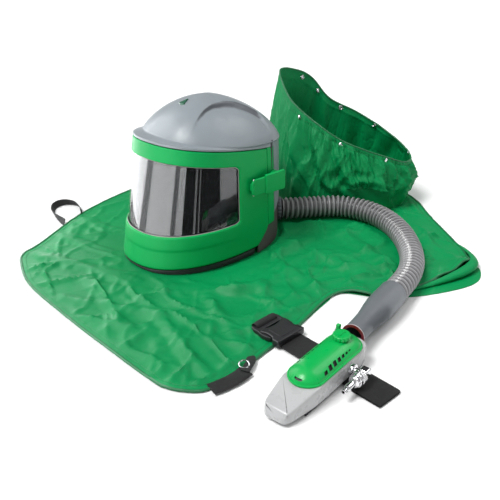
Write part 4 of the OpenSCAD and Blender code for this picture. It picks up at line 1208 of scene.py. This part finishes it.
COLLAR_N, COLLAR_M = ((420, 76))
base_line = smooth([(x, y, 0) for x, y in COLLAR_BASE], COLLAR_N, closed=True)
rim_line = smooth(COLLAR_RIM, COLLAR_N, closed=True)


# folds down the collar: start and end as (share round, share up), height and half width in mm
COLLAR_FOLDS = [
    (0.10, 0.90, 0.17, 0.30, 7, 12), (0.14, 1.00, 0.13, 0.25, 5, 10), (0.19, 0.85, 0.24, 0.15, 8, 12),
    (0.23, 0.95, 0.20, 0.40, 6, 9), (0.26, 0.80, 0.30, 0.20, 9, 11), (0.30, 0.92, 0.33, 0.45, 6, 8),
    (0.33, 0.80, 0.38, 0.10, 9, 12), (0.38, 0.90, 0.36, 0.35, 6, 9), (0.41, 0.85, 0.44, 0.15, 9, 12),
    (0.46, 0.85, 0.45, 0.30, 6, 10), (0.50, 0.80, 0.52, 0.10, 8, 14), (0.21, 0.36, 0.34, 0.22, 6, 10),
    (0.36, 0.55, 0.26, 0.42, 5, 8), (0.05, 0.80, 0.07, 0.20, 6, 14), (0.60, 0.90, 0.63, 0.30, 7, 16),
    (0.72, 0.80, 0.70, 0.20, 7, 16), (0.85, 0.90, 0.83, 0.30, 6, 14), (0.17, 0.55, 0.12, 0.12, 6, 9),
    (0.28, 0.60, 0.24, 0.30, 5, 7), (0.44, 0.62, 0.40, 0.30, 5, 8),
]
COLLAR_ROUND, COLLAR_UP = 930.0, 150.0


def fold_shape(i, s):
    """Outward shift of the collar's cloth at column i and height share s."""
    u = i / COLLAR_N
    a = 2 * math.pi * u
    cx, cy = 2.4 * math.cos(a), 2.4 * math.sin(a)
    near = step(0.08, 0.16, u) * (1 - step(0.52, 0.60, u))
    big = noise.noise(Vector((cx * 1.6, cy * 1.6, s * 1.1 + 3)))
    ridge = 1 - min(1.0, abs(noise.noise(Vector((cx * 2.3 + s, cy * 2.3, s * 1.5 + 11)))) * 2.4)
    fine = 1 - min(1.0, abs(noise.noise(Vector((cx * 5.0, cy * 5.0 + s * 1.5, s * 4.5 + 23)))) * 2.4)
    swell = math.sin(math.pi * min(1.0, max(0.0, s * 0.96 + 0.02))) ** 0.8
    crumple = 0.35 + 0.65 * near
    out = swell * (8.0 * big + crumple * (6.0 * ridge ** 4 - 1.0 + 3.0 * fine ** 4 - 0.5))
    for u0, s0, u1, s1, height, width in COLLAR_FOLDS:
        d, along = near_line(u * COLLAR_ROUND, s * COLLAR_UP, (u0 * COLLAR_ROUND, s0 * COLLAR_UP),
                             (u1 * COLLAR_ROUND, s1 * COLLAR_UP))
        if d < 3 * width:
            fade = math.sin(math.pi * (0.1 + 0.8 * along)) ** 0.6 * (1 - step(0.9, 1.0, s)) * step(0.0, 0.12, s)
            out += fade * height * (math.exp(-(d / width) ** 2) - 0.45 * math.exp(-((d - 1.8 * width) / width) ** 2))
    gather = math.exp(-((s - 0.86) / 0.10) ** 2) * near
    out += gather * 1.9 * math.sin(u * 2 * math.pi * 74 + 2.5 * noise.noise(Vector((u * 40, s * 3, 5))))
    hem = 1.1 * (math.exp(-((s - 0.925) / 0.012) ** 2))
    return out - hem


def collar_point(i, s, inset):
    b, r = base_line[i], rim_line[i]
    b = np.array([b[0], b[1], CAPE_T + 0.6])
    m = mix(np.array([200.0, 248.0, 0]), np.array([205.0, 258.0, 0]), s)
    p = mix(b, r, s)
    v = np.array([p[0] - m[0], p[1] - m[1], 0.0])
    reach = np.linalg.norm(v)
    bulge = 0.10 * math.sin(math.pi * s)
    p = p + v * bulge
    p = p + v / reach * fold_shape(i, s)
    if p[2] < 56:
        p[1] = max(p[1], 169.5)
    return tuple(p - v / reach * inset)


levels = [j / (COLLAR_M - 1) for j in range(COLLAR_M)]
outer = [[collar_point(i, s, 0) for i in range(COLLAR_N)] for s in levels]
inner = [[collar_point(i, s, 1.7) for i in range(COLLAR_N)] for s in levels]
collar = piece("neck_hood_collar", *sheet_mesh(outer, inner, wrap=True), kit, "cape", ["cape_collar"], 70)
rim_top = [tuple(mix(np.array(outer[-1][i]), np.array(inner[-1][i]), 0.5)) for i in range(COLLAR_N)]
sections = [ring(p, d, 1.8, 8) for p, d in zip(rim_top, directions(np.array(rim_top), True))]
collar_edge = loop_piece("collar_rim_piping", sections, kit, "piping", (), 80)
seam = int(COLLAR_M * 0.93)
stitches("collar_rim_stitches", [tuple(p) for p in outer[seam]], 4.6, 3.2, 0.5, kit, "thread",
         closed=True, lift=0.4)
stitches("collar_base_stitches", [tuple(p) for p in outer[2]], 5.0, 3.4, 0.5, kit, "thread",
         closed=True, lift=0.3)

SNAP_CAP = [(0.1, -0.6), (5.4, -0.6), (5.6, 0.1), (5.2, 0.9), (4.2, 1.4), (2, 1.7), (0.1, 1.75)]
SNAP_STUD = [(0.1, -0.6), (5.4, -0.6), (5.6, 0.2), (5.0, 1.2), (3.9, 1.5), (3.2, 1.0), (2.8, 0.5), (0.1, 0.5)]
snap_verts, snap_faces, stud_verts, stud_faces = [], [], [], []
for u in (0.135, 0.27, 0.40, 0.535, 0.665, 0.77, 0.85, 0.915):
    i = int(u * COLLAR_N)
    j = int(COLLAR_M * 0.93) if 0.1 < u < 0.5 else int(COLLAR_M * 0.95)
    p_out, p_in = np.array(outer[j][i]), np.array(inner[j][i])
    n = p_out - p_in
    n /= np.linalg.norm(n)
    snap_x = np.cross(n, [0, 0, 1.0])
    snap_x /= np.linalg.norm(snap_x)
    snap_y = np.cross(n, snap_x)
    for centre, sign, outline, store in ((p_out, 1, SNAP_CAP, (snap_verts, snap_faces)),
                                         (p_in, -1, SNAP_STUD, (stud_verts, stud_faces))):
        v, f = lathe(outline, 28, lambda p: tuple(centre + snap_x * p[0] + snap_y * p[1] + n * sign * p[2]))
        k = len(store[0])
        store[0].extend(v)
        store[1].extend(tuple(a + k for a in face) for face in f)
piece("snap_caps", snap_verts, snap_faces, kit, "nickel", ["collar_snaps"], 40)
piece("snap_sockets", stud_verts, stud_faces, kit, "steel", (), 40)

# ---------------------------------------------------------------- straps at the cape's edges


def ribbon(name, path, height, thick, place, replaces=(), n=140, lean_out=0.0):
    """Strap standing on its edge along a path on the floor."""
    pts = smooth(path, n)
    d = directions(pts)
    sections = []
    for i, (p, v) in enumerate(zip(pts, d)):
        side = Vector((-v[1], v[0], 0)).normalized()
        up = (Vector((0, 0, 1)) + side * lean_out * math.sin(i * 0.045)).normalized()
        a, b = [], []
        for j in range(9):
            s = j / 8
            t = thick / 2 * (1 - 0.5 * abs(2 * s - 1) ** 6)
            base = Vector(p) + up * height * s
            a.append(tuple(base + side * t))
            b.append(tuple(base - side * t))
        sections.append(a + b[::-1])
    verts, faces = tube_mesh(sections)
    return piece(name, verts, faces, place, "web", replaces, 50)


ribbon("left_strap_loop", [(-362, 152, 0.6), (-366, 176, 0.6), (-378, 198, 0.6), (-396, 205, 0.6),
       (-414, 200, 0.6), (-424, 182, 0.6), (-418, 152, 0.6), (-404, 124, 0.6), (-390, 104, 0.6)], 15, 2.0,
       kit, ["strap_loop"], 160, 0.5)
webbing("side_strap_band", [(-58, -432, 4.9), (-40, -421, 4.8), (-20, -405, 5.0), (-6, -388, 4.6)], 27, 2.2,
        kit, 0.4, ["side_strap"], 60, 10, 3.0)
webbing("side_strap_tail", [(-8, -392, 7.0), (-2, -378, 7.6), (2, -362, 5.6), (0, -352, 4.6)], 15, 1.8, kit,
        0.3, (), 40, 8, 5.0)
sections = []
for i in range(56):
    a = 2 * math.pi * i / 56
    p = (-9 + 8.0 * math.cos(a), -377 + 8.0 * math.sin(a), 8.8 + 1.2 * math.sin(a))
    sections.append(ring(p, (-math.sin(a), math.cos(a), 0.15 * math.cos(a)), 1.25, 12))
loop_piece("side_strap_ring", sections, kit, "nickel", ["strap_ring"], 60)

# ---------------------------------------------------------------- inside the helmet


def soft_pad(name, rows, look, replaces, crown):
    """Closed cushion over a grid of outer points, pulled in between its corners."""
    n, m = len(rows), len(rows[0])
    out, inn = [], []
    for i, r in enumerate(rows):
        ro, ri = [], []
        for j, (p, back) in enumerate(r):
            a, b = math.sin(math.pi * i / (n - 1)), math.sin(math.pi * j / (m - 1))
            puff = crown * (max(0.0, a * b)) ** 0.5
            p, back = Vector(p), Vector(back)
            v = (p - back)
            mid = (p + back) / 2
            soft = 0.35 + 0.65 * max(0.0, a * b) ** 0.35
            ro.append(tuple(mid + v / 2 * soft + v.normalized() * puff))
            ri.append(tuple(mid - v / 2 * soft))
        out.append(ro)
        inn.append(ri)
    verts, faces = sheet_mesh(out, inn)
    o = piece(name, verts, faces, helmet, look, replaces, 60)
    return o


def band_point(t, half_w, reach, z):
    x, y = oval(t, half_w, reach)
    return x, y + 30, z


rows = [[(band_point(t, 70, 84, z), band_point(t, 75.4, 89.4, z)) for t in np.linspace(-54, 54, 60)]
        for z in np.linspace(186, 205, 12)]
soft_pad("brow_cushion", rows, "pad", ["brow_pad"], 1.6)


def strap_arch(name, angle, half_span, top_z, replaces=()):
    c, s = math.cos(math.radians(angle)), math.sin(math.radians(angle))
    sections = []
    for i in range(61):
        a = math.pi * i / 60
        n = Vector((math.cos(a), 0, math.sin(a)))
        p = Vector((half_span * math.cos(a), 0, 206 + (top_z - 206) * math.sin(a)))
        section = []
        for w, d in ((-10.6, 0.5), (-9.8, 0), (-4, -0.05), (4, -0.05), (9.8, 0), (10.6, 0.5), (10.6, 1.1),
                     (9.8, 1.6), (-9.8, 1.6), (-10.6, 1.1)):
            q = p - n * d
            x, y = q.x, w
            section.append((x * c - y * s, x * s + y * c + 30, q.z))
        sections.append(section)
    verts, faces = tube_mesh(sections)
    piece(name, verts, faces, helmet, "web", replaces, 50)


strap_arch("crown_strap_across", 0, 77, 261, ["crown_straps"])
strap_arch("crown_strap_along", 90, 90, 263.5)
pad_rows = []
for i in range(15):
    r = []
    for j in range(48):
        a = 2 * math.pi * j / 48
        rr = 26 * math.sin(math.pi / 2 * i / 14) + 0.01
        drop = 3.2 * (1 - (rr / 26.1) ** 3) ** 0.6 if rr < 26 else 0
        r.append((rr * math.cos(a), 30 + rr * math.sin(a), drop))
    pad_rows.append(r)
crown_cushion = piece("crown_cushion",
                      *sheet_mesh([[(x, y, 253.6 + 0.9 * d) for x, y, d in r] for r in pad_rows],
                      [[(x, y, 253.4 - d) for x, y, d in r] for r in pad_rows], wrap=True), helmet,
                      "pad", ["crown_pad"], 70)


def surround(t, z, inset):
    w = (abs(t) - 90) / 10
    if w <= 0:
        x, y = oval(t, 96, 70)
    else:
        wings = [(96, 0), (97, 40), (98, 62), (106.5, 78), (106.5, 78)]
        i = min(int(w), 2)
        x, y = (mix(a, b, w - i) for a, b in zip(wings[i], wings[i + 1]))
        x *= 1 if t > 0 else -1
    r = math.hypot(x, y)
    return x * (1 - inset / r), y * (1 - inset / r), z


sections = []
for s in LONG_STEPS:
    section = []
    for m, inset in ((1, -0.3), (1, -1.8), (2, -2.8), (3.5, -3), (5, -2.8), (6, -1.8), (6, -0.3)):
        t, z = window_spot(s, 62 + m, 62 - 1.2 * m, 184 + 1.2 * m)
        dt, dz = corner_shift(s, 16.0, 190, 120, 1.5)
        section.append(surround(t + dt, z + dz, inset))
    sections.append(section)
loop_piece("face_opening_seal", sections, helmet, "rubber", ["face_seal"], 60)

silencer = bevelled("silencer_block", rounded_box(-83.6, -46.4, -15, 15, (3,) * 4), 9.8, 21.4, unit,
                    "pad", 1.4, 3, ["silencer_foam"])

# ---------------------------------------------------------------- looks of the CAD nodes that stay

KEPT = { "inner": ["face_surround"],
        "black": ["chin_plate", "headband", "ratchet_housing", "ratchet_knob", "belt_plate"],
        "green": ["hinge_bracket", "hinge_leaf", "latch_lug"],
        "steel": ["hinge_pin", "latch_pin", "valve_cartridge", "vortex_tube", "release_pin", "plate_screws"],
        "duct": ["air_duct"], "fitting": ["air_spigot"], }
for mat, names in KEPT.items():
    for name in names:
        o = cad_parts[name]
        o.data.materials.clear()
        o.data.materials.append(MAT[mat])

# ---------------------------------------------------------------- floor, light and world

floor_mat = bpy.data.materials.new("floor")
floor_mat.use_nodes = True
floor_mat.node_tree.nodes["Principled BSDF"].inputs["Base Color"].default_value = (0.9, 0.9, 0.9, 1)
floor_mat.node_tree.nodes["Principled BSDF"].inputs["Roughness"].default_value = 0.9
floor_mat.node_tree.nodes["Principled BSDF"].inputs["Specular IOR Level"].default_value = 0.1
me = bpy.data.meshes.new("floor")
me.from_pydata([(-40, -40, -0.0003), (40, -40, -0.0003), (40, 40, -0.0003), (-40, 40, -0.0003)], [],
               [(0, 1, 2, 3)])
me.materials.append(floor_mat)
floor = bpy.data.objects.new("floor", me)
bpy.context.scene.collection.objects.link(floor)

bpy.context.scene.view_settings.view_transform = "Standard"
world = bpy.data.worlds.new("studio")
bpy.context.scene.world = world
world.use_nodes = True
world.node_tree.nodes["Background"].inputs["Color"].default_value = (1, 1, 1, 1)
world.node_tree.nodes["Background"].inputs["Strength"].default_value = 0.42


def sun(name, direction, strength, angle):
    data = bpy.data.lights.new(name, "SUN")
    data.energy = strength
    data.angle = math.radians(angle)
    o = bpy.data.objects.new(name, data)
    o.rotation_euler = Vector(direction).to_track_quat("-Z", "Y").to_euler()
    bpy.context.scene.collection.objects.link(o)


sun("soft_key", (0.55, 0.25, -1.0), 3.0, 26)
sun("soft_rim", (-0.75, -0.45, -1.0), 0.7, 30)


STUDIO_REACH = 0.46
# Upright studio cards round the helmet that only reflections see: compass angles in degrees
# anticlockwise from +X, and how brightly each glows
CARDS = ((140, 186, 5.5), (186, 199, 1.3), (199, 204, 3.6), (204, 247, 4.2), (247, 255, 0.9),
         (255, 266, 3.0), (266, 282, 0.05), (282, 285, 1.2), (285, 288.5, 0.05), (288.5, 290, 1.2),
         (290, 317, 0.05), (317, 345, 1.6))


def reflected_card(index, start, end, glow):
    m = bpy.data.materials.new(f"card_{index}")
    m.use_nodes = True
    b = m.node_tree.nodes["Principled BSDF"]
    b.inputs["Base Color"].default_value = (0.002, 0.002, 0.002, 1)
    b.inputs["Roughness"].default_value = 1.0
    b.inputs["Specular IOR Level"].default_value = 0.0
    b.inputs["Emission Color"].default_value = (0.97, 0.985, 1, 1)
    b.inputs["Emission Strength"].default_value = glow
    n = max(2, int((end - start) / 2) + 1)
    mid = helmet((0, 0, 0))
    verts, faces = [], []
    for k in range(n):
        a = math.radians(mix(start, end, k / (n - 1)))
        x, y = mid[0] + STUDIO_REACH * math.cos(a), mid[1] + STUDIO_REACH * math.sin(a)
        verts += [(x, y, 0.0), (x, y, 0.75)]
        if k:
            faces.append((2 * k - 2, 2 * k, 2 * k + 1, 2 * k - 1))
    mesh = bpy.data.meshes.new(f"card_{index}")
    mesh.from_pydata(verts, [], faces)
    mesh.materials.append(m)
    o = bpy.data.objects.new(mesh.name, mesh)
    o.visible_camera = False
    o.visible_shadow = False
    o.visible_diffuse = False
    o.visible_transmission = False
    bpy.context.scene.collection.objects.link(o)


for index, (start, end, glow) in enumerate(CARDS):
    reflected_card(index, start, end, glow)
